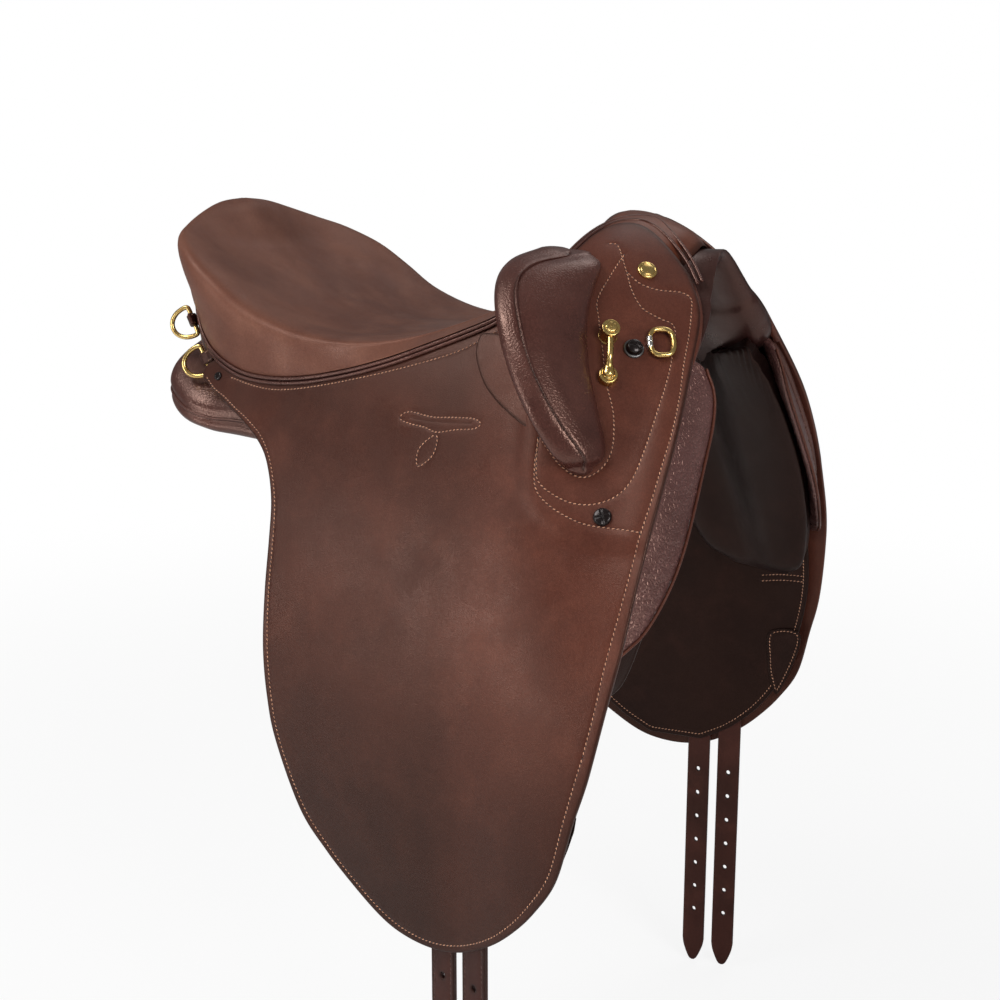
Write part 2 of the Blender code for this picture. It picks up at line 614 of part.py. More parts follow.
def make_strap(tag, side, index):
    centre_x = STRAP_X[tag][index]
    half = STRAP_WIDTH * 0.5
    holes = [STRAP_FIRST_HOLE_Z - i * STRAP_HOLE_PITCH for i in range(STRAP_HOLES)]
    rows = [(STRAP_TOP_Z, half)] + [(z, half) for z in STRAP_ROWS]
    rows += [(z, half) for z in holes[::2]]
    rows += [(STRAP_END_Z + STRAP_POINT, half), (STRAP_END_Z + STRAP_POINT * 0.45, half * 0.72),
             (STRAP_END_Z, half * 0.20)]
    rings = []
    bottom_z = SKIRT_ROWS[-1][0]
    for z, reach in rows:
        outer = []
        inner = []
        for share in (-1.0, 1.0):
            x = centre_x + share * reach
            hang = max(z, bottom_z)
            drop = Vector((0.0, 0.0, z - hang))
            outer.append(skin(side, x, hang, -STRAP_DEPTH) + drop)
            inner.append(skin(side, x, hang, -STRAP_DEPTH - STRAP_THICKNESS) + drop)
        rings.append(outer + list(reversed(inner)))
    name = "girth_strap_" + STRAP_NAMES[index] + "_" + tag
    strap = loft(name, rings, "strap_leather", rounded=False)
    for i, z in enumerate(holes):
        hang = max(z, bottom_z)
        middle = skin(side, centre_x, hang, -STRAP_DEPTH - STRAP_THICKNESS * 0.5)
        middle.z = z
        normal = skin_normal(side, centre_x, hang)
        normal.z = 0.0
        cutter = disc("cutter_" + name + str(i), middle, normal.normalized(),
                      ((-STRAP_THICKNESS, STRAP_HOLE_RADIUS), (STRAP_THICKNESS, STRAP_HOLE_RADIUS)),
                      "steel", steps=6)
        cut(strap, cutter)
    pivot = skin(side, centre_x, STRAP_TOP_Z, -STRAP_DEPTH - STRAP_THICKNESS * 0.5)
    set_origin(strap, pivot)


def cut(obj, cutter, operation="DIFFERENCE"):
    collection.objects.unlink(cutter)
    cutters.objects.link(cutter)
    cutter.hide_render = True
    cutter.display_type = "WIRE"
    step = obj.modifiers.new(operation.lower() + cutter.name, "BOOLEAN")
    step.operation = operation
    step.object = cutter
    step.solver = "EXACT"


def dee_frame(side, data):
    centre, bar, loop, tail = [Vector((v[0], side * v[1], v[2])) for v in data[1:]]
    bar.normalize()
    loop = (loop - bar * loop.dot(bar)).normalized()
    tail = (tail - bar * tail.dot(bar)).normalized()
    return centre, bar, loop, tail


def make_dee(tag, side, data):
    centre, bar, loop, tail = dee_frame(side, data)
    half = DEE_BAR * 0.5
    corner = DEE_WIRE
    path = []
    for k in (-1.0, -0.33, 0.33, 1.0):
        path.append(centre + bar * (k * (half - corner)))
    steps = 8
    for k in range(steps + 1):
        angle = math.pi * k / steps
        path.append(centre + bar * (half * math.cos(angle)) + loop * (corner + (DEE_DEPTH - corner)
                                                                      * math.sin(angle)))
    dee = tube("rear_dee_" + data[0] + "_" + tag, path, DEE_WIRE, "brass", steps=6, closed=True)
    set_origin(dee, centre)
    normal = bar.cross(tail)
    reach = DEE_WIRE + FIT_GAP + CHAPE_THICKNESS * 0.5
    turns = 6
    line = [(-CHAPE_TAIL, -(CHAPE_THICKNESS + CHAPE_END_GAP) * 0.5), (-CHAPE_TAIL * 0.5, -reach * 0.7)]
    for k in range(turns + 1):
        angle = -math.pi * 0.5 + math.pi * k / turns
        line.append((reach * math.cos(angle), reach * math.sin(angle)))
    line += [(-CHAPE_TAIL * 0.5, reach * 0.7), (-CHAPE_TAIL, (CHAPE_THICKNESS + CHAPE_END_GAP) * 0.5)]
    rings = []
    for i, point in enumerate(line):
        ahead = Vector(line[min(i + 1, len(line) - 1)])
        behind = Vector(line[max(i - 1, 0)])
        along = (ahead - behind).normalized()
        across = Vector((-along.y, along.x)) * (CHAPE_THICKNESS * 0.5)
        ring = []
        for sign, edge in ((1, 1), (-1, 1), (-1, -1), (1, -1)):
            flat = Vector(point) + across * sign
            ring.append(centre - tail * flat.x + normal * flat.y + bar * (edge * CHAPE_WIDTH * 0.5))
        rings.append(ring)
    loft("dee_chape_" + data[0] + "_" + tag, rings, "flap_leather")


def make_staple(tag, side):
    lift = FACING_LIFT + FACING_THICKNESS + STAPLE_GAP
    top_normal = skin_normal(side, *STAPLE_TOP_AT)
    low_normal = skin_normal(side, *STAPLE_LOW_AT)
    top = skin(side, STAPLE_TOP_AT[0], STAPLE_TOP_AT[1], lift)
    low = skin(side, STAPLE_LOW_AT[0], STAPLE_LOW_AT[1], lift)
    name = "staple_" + tag
    staple = disc(name, top, top_normal, ((0.0, STAPLE_BOSS_RADIUS), (STAPLE_HEIGHT, STAPLE_BOSS_RADIUS)),
                  "brass", steps=12)
    eye = disc("cutter_eye_" + tag, low, low_normal,
               ((0.0, STAPLE_EYE_RADIUS), (STAPLE_EYE_HEIGHT, STAPLE_EYE_RADIUS)), "brass", steps=12)
    start = top + top_normal * (STAPLE_HEIGHT - STAPLE_ROD_RADIUS * 1.3)
    toward = (top - low).normalized()
    end = low + toward * STAPLE_EYE_RADIUS * 0.85 + low_normal * (STAPLE_EYE_HEIGHT * 0.55)
    shoulder = low + toward * STAPLE_EYE_RADIUS * 1.9 + low_normal * (STAPLE_HEIGHT - STAPLE_ROD_RADIUS)
    rod = tube("cutter_rod_" + tag, [start, start + (shoulder - start) * 0.5, shoulder, end],
               STAPLE_ROD_RADIUS, "brass", steps=8)
    cut(staple, eye, "UNION")
    cut(staple, rod, "UNION")
    for label, centre, normal, height in (("top", top, top_normal, STAPLE_HEIGHT),
                                          ("low", low, low_normal, STAPLE_EYE_HEIGHT)):
        disc("staple_screw_" + label + "_" + tag, centre + normal * (height + FIT_GAP), normal,
             ((0.0, STAPLE_SCREW_RADIUS), (STAPLE_SCREW_HEIGHT, STAPLE_SCREW_RADIUS * DOME_RIM)), "brass",
             steps=12)


def make_ring(tag, side):
    lift = FACING_LIFT + FACING_THICKNESS + FIT_GAP
    stud("ring_post_" + tag, side, POST_AT, POST_RADIUS, POST_HEIGHT, lift, "black_metal")
    normal = skin_normal(side, *RING_AT)
    across, up = frame_of(normal)
    centre = skin(side, RING_AT[0], RING_AT[1], RING_LIFT)
    path = []
    steps = 20
    for k in range(steps):
        angle = 2.0 * math.pi * k / steps
        path.append(centre + across * (RING_HALF_WIDTH * math.cos(angle))
                    + up * (RING_HALF_HEIGHT * math.sin(angle)))
    ring = tube("front_ring_" + tag, path, RING_WIRE, "brass", steps=6, closed=True)
    forward = Vector((1.0, 0.0, 0.0))
    rear = -across if across.dot(forward) > 0 else across
    set_origin(ring, centre + rear * RING_HALF_WIDTH)


def make_side(tag, side):
    outer = []
    inner = []
    for x, low, high in FLAP_COLUMNS:
        low = low + FLEX_GAP * 0.5
        zs = [low + (high - low) * i / FLAP_STEPS for i in range(FLAP_STEPS + 1)]
        outer.append([skin(side, x, z) for z in zs])
        inner.append([skin(side, x, z, -FLAP_THICKNESS) for z in zs])
    sheet("flap_" + tag, outer, inner, "flap_leather")
    flex = (FLEX_Z - FLEX_GAP * 0.5, FLAP_COLUMNS[6][0], FLAP_COLUMNS[-1][0])
    skirt = skin_sheet("flap_skirt_" + tag, side, (flex,) + SKIRT_ROWS, SKIRT_COLUMNS, 0.0, FLAP_THICKNESS,
                       "flap_leather")
    set_origin(skirt, Vector((FLEX_AXIS_AT[0], side * FLEX_AXIS_AT[1], FLEX_Z)))
    skin_sheet("facing_" + tag, side, FACING_ROWS, FACING_COLUMNS, FACING_LIFT + FACING_THICKNESS,
               FACING_THICKNESS, "flap_leather")
    skin_sheet("bar_cover_" + tag, side, TONGUE_ROWS, TONGUE_COLUMNS, TONGUE_LIFT + FACING_THICKNESS,
               FACING_THICKNESS, "flap_leather")
    skin_sheet("sweat_flap_" + tag, side, SWEAT_ROWS, SWEAT_COLUMNS, -SWEAT_DEPTH, SWEAT_THICKNESS,
               "strap_leather")
    loft("knee_pad_" + tag, [pad_ring(side, row) for row in PAD_ROWS], "pad_leather")
    rings = []
    for z, front, reach in ROLL_ROWS:
        middle = front - ROLL_WIDTH * 0.5
        size = reach * 0.5
        ring = []
        for k in range(10):
            angle = 2.0 * math.pi * k / 10
            x = middle + ROLL_WIDTH * 0.5 * squared(math.cos(angle))
            ring.append(skin(side, x, z, -ROLL_DEPTH - size + size * squared(math.sin(angle))))
        rings.append(ring)
    loft("front_roll_" + tag, rings, "pad_leather")
    rings = []
    rows = len(FRONT_PAD_ROWS)
    for i, (z, rear, front) in enumerate(FRONT_PAD_ROWS):
        share = max(0.0, 1.0 - i / (rows * 0.5))
        size = FRONT_PAD_THICKNESS * 0.5 * (0.55 if i in (0, rows - 1) else 1.0)
        ring = []
        for k in range(12):
            angle = 2.0 * math.pi * k / 12
            x = 0.5 * (rear + front) + 0.5 * (front - rear) * squared(math.cos(angle))
            tilt = FRONT_PAD_SLOPE * share * (x - rear)
            ring.append(skin(side, x, z + tilt,
                             -FRONT_PAD_DEPTH - FRONT_PAD_THICKNESS * 0.5 + size * squared(math.sin(angle))))
        rings.append(ring)
    loft("front_pad_" + tag, rings, "pad_leather")
    rings = []
    for x, inner_low, outer_low, outer_top, inner_top in PANEL_STATIONS:
        ring = []
        for k in range(PANEL_RING):
            angle = 2.0 * math.pi * k / PANEL_RING
            u = 0.5 + 0.5 * squared(math.cos(angle))
            v = 0.5 + 0.5 * squared(math.sin(angle))
            low = Vector(inner_low) * (1.0 - u) + Vector(outer_low) * u
            high = Vector(inner_top) * (1.0 - u) + Vector(outer_top) * u
            place = low * (1.0 - v) + high * v
            ring.append(Vector((x, side * place.x, place.y)))
        rings.append(ring)
    loft("panel_" + tag, rings, "pad_leather")
    welt = [skin(side, x, z, HEAD_WELT_RADIUS + FIT_GAP) for x, z in HEAD_WELT]
    tube("head_welt_" + tag, welt, HEAD_WELT_RADIUS, "pad_leather", steps=6)
    make_bar(tag, side)
    for index in range(len(STRAP_NAMES)):
        make_strap(tag, side, index)
    for data in DEES:
        make_dee(tag, side, data)
    lift = FACING_LIFT + FACING_THICKNESS + FIT_GAP
    stud("button_" + tag, side, BUTTON_AT, BUTTON_RADIUS, BUTTON_HEIGHT, lift, "brass")
    stud("low_screw_" + tag, side, LOW_SCREW_AT, LOW_SCREW_RADIUS, LOW_SCREW_HEIGHT, lift, "black_metal")
    stud("tail_screw_" + tag, side, TAIL_SCREW_AT, TAIL_SCREW_RADIUS, TAIL_SCREW_HEIGHT, FIT_GAP,
         "black_metal")
    make_staple(tag, side)
    make_ring(tag, side)


def squared(value):
    return math.copysign(abs(value) ** PANEL_SQUARENESS, value)


clear_scene()
collection = bpy.data.collections.new(OBJECT_NAME)
bpy.context.scene.collection.children.link(collection)
cutters = bpy.data.collections.new("cutters")
bpy.context.scene.collection.children.link(cutters)
make_tree()
welt_heights = make_seat()
make_welt(welt_heights)
make_cantle_back()
make_head()
for tag, side in SIDES:
    make_side(tag, side)
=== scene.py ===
# Looks of an Australian stock saddle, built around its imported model.
# Metres; +X points to the horse's head, +Y to its left side, +Z up. The right side faces the camera.
import math
from functools import partial
import bpy
import bmesh
import numpy as np
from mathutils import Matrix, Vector
from mathutils import noise
from mathutils.geometry import delaunay_2d_cdt


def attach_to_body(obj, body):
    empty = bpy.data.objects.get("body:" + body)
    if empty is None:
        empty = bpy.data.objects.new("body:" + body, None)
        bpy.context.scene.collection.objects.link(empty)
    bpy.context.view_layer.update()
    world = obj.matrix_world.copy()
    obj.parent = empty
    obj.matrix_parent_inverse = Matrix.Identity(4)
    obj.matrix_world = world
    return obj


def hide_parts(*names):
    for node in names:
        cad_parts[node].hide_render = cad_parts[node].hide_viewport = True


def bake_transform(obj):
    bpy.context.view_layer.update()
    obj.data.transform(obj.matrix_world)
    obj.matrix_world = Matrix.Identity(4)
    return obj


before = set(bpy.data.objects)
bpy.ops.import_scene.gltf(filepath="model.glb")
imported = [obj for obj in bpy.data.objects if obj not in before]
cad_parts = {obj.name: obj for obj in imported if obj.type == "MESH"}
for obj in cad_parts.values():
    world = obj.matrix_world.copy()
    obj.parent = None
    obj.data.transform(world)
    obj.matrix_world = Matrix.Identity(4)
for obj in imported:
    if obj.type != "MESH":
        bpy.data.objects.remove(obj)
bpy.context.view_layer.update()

SIDES = (("right", -1), ("left", 1))
UP = np.array([0.0, 0.0, 1.0])

# Outer face of the side leathers, as in the CAD source
SKIN_BASE_Z = -0.320
BARREL_HEIGHT = 0.475
BARREL_HALF_WIDTH = 0.238
BARREL_WIDTH_X = 0.170
BARREL_TAPER = 0.130
ARCH_DROP = 0.022
DROP_START_X = 0.170
DROP_LENGTH = 0.080
ARCH_HALF_WIDTH = 0.250
ARCH_POWER = 2.4
BLEND_START_X = 0.150
BLEND_LENGTH = 0.120
SLOPE_STEP = 0.001

# Layers under that face
FLAP_THICKNESS = 0.0035
FACING_RISE = 0.0031
STRAP_DEPTH = 0.0055
STRAP_THICKNESS = 0.0045
SWEAT_DEPTH = 0.0108
SWEAT_THICKNESS = 0.0030
FRONT_PAD_DEPTH = 0.0152
FRONT_PAD_THICKNESS = 0.0200


# Curves and surfaces

def smooth(t):
    t = np.clip(t, 0.0, 1.0)
    return t * t * (3.0 - 2.0 * t)


def half_width(x, z):
    height = BARREL_HEIGHT - ARCH_DROP * smooth((x - DROP_START_X) / DROP_LENGTH)
    level = np.clip((z - SKIN_BASE_Z) / height, 0.0, 1.0)
    back = (BARREL_HALF_WIDTH + BARREL_TAPER * (x - BARREL_WIDTH_X)) * np.sqrt(1.0 - level * level)
    front = ARCH_HALF_WIDTH * (1.0 - level ** ARCH_POWER)
    return back + (front - back) * smooth((x - BLEND_START_X) / BLEND_LENGTH)


def unit(v):
    return v / np.maximum(np.linalg.norm(v, axis=-1, keepdims=True), 1e-12)


def skin_normal(side, x, z):
    along = (half_width(x + SLOPE_STEP, z) - half_width(x - SLOPE_STEP, z)) / (2.0 * SLOPE_STEP)
    up = (half_width(x, z + SLOPE_STEP) - half_width(x, z - SLOPE_STEP)) / (2.0 * SLOPE_STEP)
    return unit(np.stack([-along, np.full_like(along, side), -up], axis=-1))


def skin(side, x, z, lift=0.0):
    x = np.asarray(x, float)
    z = np.asarray(z, float)
    flat = np.stack([x, side * half_width(x, z), z], axis=-1)
    return flat + skin_normal(side, x, z) * np.asarray(lift)[..., None]


def curve(points, closed=False, per=10):
    p = np.array(points, float)
    n = len(p)
    t = np.linspace(0.0, 1.0, per, endpoint=False)[:, None]
    rows = []
    for i in range(n if closed else n - 1):
        p1, p2 = p[i], p[(i + 1) % n]
        p0 = p[i - 1] if closed or i > 0 else 2.0 * p1 - p2
        p3 = p[(i + 2) % n] if closed or i + 2 < n else 2.0 * p2 - p1
        rows.append(0.5 * (2.0 * p1 + (p2 - p0) * t + (2.0 * p0 - 5.0 * p1 + 4.0 * p2 - p3) * t * t
                           + (3.0 * p1 - p0 - 3.0 * p2 + p3) * t ** 3))
    if not closed:
        rows.append(p[-1:])
    return np.vstack(rows)


def even(points, step, closed=False):
    points = np.asarray(points, float)
    if closed:
        points = looped(points)
    run = np.r_[0.0, np.cumsum(np.linalg.norm(np.diff(points, axis=0), axis=1))]
    count = max(3 if closed else 1, int(round(run[-1] / step)))
    at = np.linspace(0.0, run[-1], count + 1)
    if closed:
        at = at[:-1]
    return np.column_stack([np.interp(at, run, points[:, k]) for k in range(points.shape[1])])


def looped(loop):
    return np.vstack([loop, loop[:1]])


def distance(points, line, closed=False):
    starts = line if closed else line[:-1]
    ends = np.roll(line, -1, axis=0) if closed else line[1:]
    best = np.full(len(points), 1.0)
    for a, b in zip(starts, ends):
        way = b - a
        t = np.clip(((points - a) @ way) / max(way @ way, 1e-14), 0.0, 1.0)
        best = np.minimum(best, np.linalg.norm(points - a - t[:, None] * way, axis=1))
    return best


def inside(points, loop):
    result = np.zeros(len(points), bool)
    for a, b in zip(loop, np.roll(loop, -1, axis=0)):
        if a[1] == b[1]:
            continue
        crosses = (a[1] > points[:, 1]) != (b[1] > points[:, 1])
        at = (b[0] - a[0]) * (points[:, 1] - a[1]) / (b[1] - a[1]) + a[0]
        result ^= crosses & (points[:, 0] < at)
    return result


def beside(line, step, closed=False):
    ahead = np.roll(line, -1, axis=0) if closed else np.vstack([line[1:], line[-1:] * 2.0 - line[-2:-1]])
    behind = np.roll(line, 1, axis=0) if closed else np.vstack([line[:1] * 2.0 - line[1:2], line[:-1]])
    way = unit(ahead - behind)
    return line + np.column_stack([-way[:, 1], way[:, 0]]) * step


def inset(loop, step):
    area = np.sum(loop[:, 0] * np.roll(loop[:, 1], -1) - np.roll(loop[:, 0], -1) * loop[:, 1])
    moved = beside(loop, step if area > 0 else -step, closed=True)
    return moved[distance(moved, loop, True) > abs(step) * 0.95]


# Meshes

def around(count):
    return 2.0 * math.pi * np.arange(count) / count


def piece(name, verts, faces, material, wear_and_seam_shade=None):
    mesh = bpy.data.meshes.new(name)
    mesh.from_pydata([tuple(map(float, v)) for v in verts], [], [tuple(map(int, f)) for f in faces])
    if wear_and_seam_shade is not None:
        mesh.attributes.new("wear_and_seam_shade", "FLOAT", "POINT").data.foreach_set("value", np.asarray(wear_and_seam_shade, np.float32))
    tidy = bmesh.new()
    tidy.from_mesh(mesh)
    bmesh.ops.recalc_face_normals(tidy, faces=tidy.faces)
    tidy.to_mesh(mesh)
    tidy.free()
    mesh.polygons.foreach_set("use_smooth", [True] * len(mesh.polygons))
    obj = bpy.data.objects.new(name, mesh)
    bpy.context.scene.collection.objects.link(obj)
    mesh.materials.append(material)
    return obj


def attach(obj, body, slot, *nodes, fill=None):
    """Parents a piece to what it moves with and hides the CAD nodes that it stands for; its slot and its
    stuffing are not used.
    """
    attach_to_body(obj, body)
    if nodes:
        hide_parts(*nodes)


class Shells:
    """Several closed shells gathered for one piece."""

    def __init__(self):
        self.verts = []
        self.faces = []
        self.marks = []

    def add(self, verts, faces, mark=0):
        start = len(self.verts)
        self.verts += [tuple(map(float, v)) for v in verts]
        self.faces += [tuple(int(i) + start for i in f) for f in faces]
        self.marks += [mark] * len(faces)

    def build(self, name, *materials):
        obj = piece(name, self.verts, self.faces, materials[0])
        for material in materials[1:]:
            obj.data.materials.append(material)
        obj.data.polygons.foreach_set("material_index", self.marks)
        return obj


def gather(name, body, slot, material, shells, *nodes):
    """One piece of several closed shells."""
    gathered = Shells()
    for shell in shells:
        gathered.add(*shell)
    attach(gathered.build(name, material), body, slot, *nodes)


def tube_faces(rows, count, closed=False):
    faces = []
    for i in range(rows if closed else rows - 1):
        a = i * count
        b = ((i + 1) % rows) * count
        faces += [(a + j, a + (j + 1) % count, b + (j + 1) % count, b + j) for j in range(count)]
    return faces


def lofted(rings, closed=False):
    """Rings joined into a closed skin, each end drawn to its middle point."""
    rings = np.asarray(rings, float)
    rows, count = rings.shape[:2]
    verts = rings.reshape(-1, 3)
    faces = tube_faces(rows, count, closed)
    if not closed:
        verts = np.vstack([verts, rings[0].mean(axis=0), rings[-1].mean(axis=0)])
        first = rows * count
        for j in range(count):
            k = (j + 1) % count
            faces.append((k, j, first))
            faces.append(((rows - 1) * count + j, (rows - 1) * count + k, first + 1))
    return verts, faces


def rounded_ends(rings, reach, steps=5):
    """Adds shrinking rings beyond both ends, so that a stuffed form closes in a round end."""
    rings = np.asarray(rings, float)
    result = list(rings)
    for end, near in ((0, 1), (-1, -2)):
        middle = rings[end].mean(axis=0)
        way = unit(middle - rings[near].mean(axis=0))
        extra = []
        for k in range(1, steps + 1):
            angle = 0.5 * math.pi * k / (steps + 0.4)
            extra.append(middle + (rings[end] - middle) * math.cos(angle) + way * reach * math.sin(angle))
        result = list(reversed(extra)) + result if end == 0 else result + extra
    return np.array(result)


def sweep(path, radius, sides=10, closed=False, up=None):
    """Rings of a round cord along a path; radius may be a list."""
    path = np.asarray(path, float)
    count = len(path)
    radius = np.broadcast_to(np.asarray(radius, float), (count,))
    ahead = np.roll(path, -1, axis=0)
    behind = np.roll(path, 1, axis=0)
    if not closed:
        ahead[-1] = path[-1]
        behind[0] = path[0]
    along = unit(ahead - behind)
    across = None
    rings = []
    angles = around(sides)
    for i in range(count):
        if up is not None:
            across = np.cross(along[i], up[i])
        elif across is None:
            across = np.cross(along[i], (0.0, 0.0, 1.0) if abs(along[i][2]) < 0.9 else (1.0, 0.0, 0.0))
        across = unit(across - along[i] * (across @ along[i]))
        other = np.cross(across, along[i])
        rings.append(path[i] + radius[i] * (np.cos(angles)[:, None] * across
                                            + np.sin(angles)[:, None] * other))
    return np.array(rings)


def cord(path, radius, sides=10, closed=False, up=None):
    rings = sweep(path, radius, sides, closed, up)
    return lofted(rings if closed else rounded_ends(rings, float(np.min(radius)) * 0.8, 3), closed)


EDGE_ROWS = (0.10, 0.30, 0.60, 1.0, 1.8)
SEAM_ROWS = (-1.5, -0.7, 0.0, 0.7, 1.5)
SEAM_WIDTH = 0.0010
SEAM_SINK = 0.00028
RIM_STEP = 0.0030
WEAR_RUN = 0.0022
RELIEF_RUN = 0.004


def cut_out(outline, holes, lines, spacing, edge):
    """Triangles of a flat cut piece, with rows of points along its edges and its sewn lines."""
    rims = [outline] + list(holes)
    fixed = np.vstack(rims)
    edges = []
    start = 0
    for rim in rims:
        edges += [(start + i, start + (i + 1) % len(rim)) for i in range(len(rim))]
        start += len(rim)
    rows = []
    for number, rim in enumerate(rims):
        for share in EDGE_ROWS:
            rows.append(inset(rim, share * edge * (1 if number == 0 else -1)))
    for line in lines:
        for share in SEAM_ROWS:
            rows.append(beside(line, share * SEAM_WIDTH))
    rows = np.vstack(rows)
    rows = rows[inside(rows, outline) & (distance(rows, outline, True) > edge * 0.09)]
    low = outline.min(axis=0)
    high = outline.max(axis=0)
    across = np.arange(low[0], high[0], spacing)
    up = np.arange(low[1], high[1], spacing * 0.866)
    grid = np.array([(x + (0.5 * spacing if j % 2 else 0.0), z) for j, z in enumerate(up) for x in across])
    keep = inside(grid, outline) & (distance(grid, outline, True) > edge * 2.0 + spacing * 0.3)
    grid = grid[keep]
    for line in list(lines) + list(holes):
        grid = grid[distance(grid, line) > SEAM_WIDTH * 1.8]
    everything = np.vstack([fixed, rows, grid])
    found, _, triangles, origin, _, _ = delaunay_2d_cdt([Vector(p) for p in everything], edges, [], 0, 1e-7)
    flat = np.array([tuple(v) for v in found])
    triangles = np.array([t for t in triangles if len(t) == 3])
    centres = flat[triangles].mean(axis=1)
    keep = inside(centres, outline)
    for hole in holes:
        keep &= ~inside(centres, hole)
    place = {}
    for i, sources in enumerate(origin):
        for source in sources:
            if source < len(fixed):
                place[source] = i
    return flat, triangles[keep], edges, place


def leather_cut(name, place, outline, lift, thickness, material, lines=(), holes=(), spacing=0.005,
                edge=0.0011, relief=None):
    """A cut piece of leather with rounded edges: place(x, z, lift) puts it on its surface."""
    flat, triangles, edges, rim = cut_out(outline, holes, lines, spacing, edge)
    under, under_faces, _, under_rim = cut_out(outline, holes, (), spacing * 2.0, edge)

    def rounding(points):
        gap = distance(points, outline, True)
        for hole in holes:
            gap = np.minimum(gap, distance(points, hole, True))
        share = np.clip(1.0 - gap / edge, 0.0, 1.0)
        return edge * (1.0 - np.sqrt(1.0 - share * share)), gap

    drop, gap = rounding(flat)
    level = np.full(len(flat), float(lift)) if np.isscalar(lift) else lift(flat)
    wear_and_seam_shade = np.exp(-(gap / WEAR_RUN) ** 2)
    top = level - drop
    for line in lines:
        near = np.exp(-(distance(flat, line) / SEAM_WIDTH) ** 2)
        top = top - SEAM_SINK * near
        # Painted shade: the sewn grooves darken through the same attribute as the worn edges
        wear_and_seam_shade = np.maximum(wear_and_seam_shade, 0.45 * near)
    if relief is not None:
        top = top + relief(flat) * (1.0 - np.exp(-(gap / RELIEF_RUN) ** 2))
    drop, _ = rounding(under)
    base = np.full(len(under), float(lift)) if np.isscalar(lift) else np.zeros(len(under))
    low = base - thickness + drop
    verts = np.vstack([place(flat[:, 0], flat[:, 1], top), place(under[:, 0], under[:, 1], low)])
    shift = len(flat)
    faces = [tuple(t) for t in triangles] + [tuple(t[::-1] + shift) for t in under_faces]
    faces += [(rim[a], rim[b], under_rim[b] + shift, under_rim[a] + shift) for a, b in edges]
    wear_and_seam_shade = np.r_[wear_and_seam_shade, np.full(len(under), 0.3)]
    return piece(name, verts, faces, material, wear_and_seam_shade)


# Thread: each stitch is a short cord that dips into the leather between two awl holes
THREAD_RADIUS = 0.00040
THREAD_SIDES = 5
THREAD_GAP = 0.38
STITCH_STEPS = (0.0, 0.12, 0.38, 0.62, 0.88, 1.0)
FINE_THREAD = 0.0003
HOLE_RADIUS = 0.00052
HOLE_SIDES = 6
HOLE_RIM = 0.00001
HOLE_CROWN = 0.00009
HOLE_DEPTH = 0.0003
SEW_STEP = 0.0015


def sew(shells, path, normals, pitch, radius=THREAD_RADIUS, slant=0.16):
    run = np.r_[0.0, np.cumsum(np.linalg.norm(np.diff(path, axis=0), axis=1))]
    count = int(run[-1] / pitch)
    if count < 1:
        return

    def at(s):
        return (np.array([np.interp(s, run, path[:, k]) for k in range(3)]),
                unit(np.array([np.interp(s, run, normals[:, k]) for k in range(3)])))

    angles = around(THREAD_SIDES)
    begin = 0.5 * (run[-1] - count * pitch)
    for i in range(count + 1):
        s0 = begin + i * pitch
        point, normal = at(s0)
        ahead, _ = at(s0 + 0.001)
        behind, _ = at(s0 - 0.001)
        along = unit(ahead - behind)
        across = np.cross(normal, along)
        rim = [point + HOLE_RADIUS * (math.cos(a) * along * 0.9 + math.sin(a) * across * 1.1)
               + normal * HOLE_RIM for a in around(HOLE_SIDES)]
        sides = [(j, (j + 1) % HOLE_SIDES) for j in range(HOLE_SIDES)]
        # A small dark lens at each awl hole: painted shade in the hole
        shells.add(rim + [point + normal * HOLE_CROWN, point - normal * HOLE_DEPTH],
                   [(j, k, HOLE_SIDES) for j, k in sides] + [(k, j, HOLE_SIDES + 1) for j, k in sides], 1)
        if i == count:
            continue
        rings = []
        for u in STITCH_STEPS:
            point, normal = at(s0 + pitch * (0.5 * THREAD_GAP + (1.0 - THREAD_GAP) * u))
            bow = math.sin(math.pi * u)
            centre = point + normal * radius * (1.5 * bow ** 0.5 - 0.9) + across * pitch * slant * (u - 0.5)
            size = radius * (0.72 + 0.28 * bow)
            rings.append([centre + size * (math.cos(a) * across + math.sin(a) * normal * 0.9)
                          for a in angles])
        shells.add(*lofted(rings))


def stitch(name, body, seams, paint):
    """Threads of one piece; a seam holds its path, its normals, its pitch and what else sew takes."""
    shells = Shells()
    for seam in seams:
        sew(shells, *seam)
    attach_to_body(shells.build(name, paint, awl_hole_shade), body)


def on_skin(side, line, lift):
    """Path and normals of a seam that lies on the side leathers."""
    line = even(line, SEW_STEP)
    x, z = line.T
    return skin(side, x, z, lift(line) - SEAM_SINK), skin_normal(side, x, z)


# Materials

def srgb(r, g, b):
    def linear(v):
        v /= 255.0
        return v / 12.92 if v <= 0.04045 else ((v + 0.055) / 1.055) ** 2.4
    return (linear(r), linear(g), linear(b), 1.0)


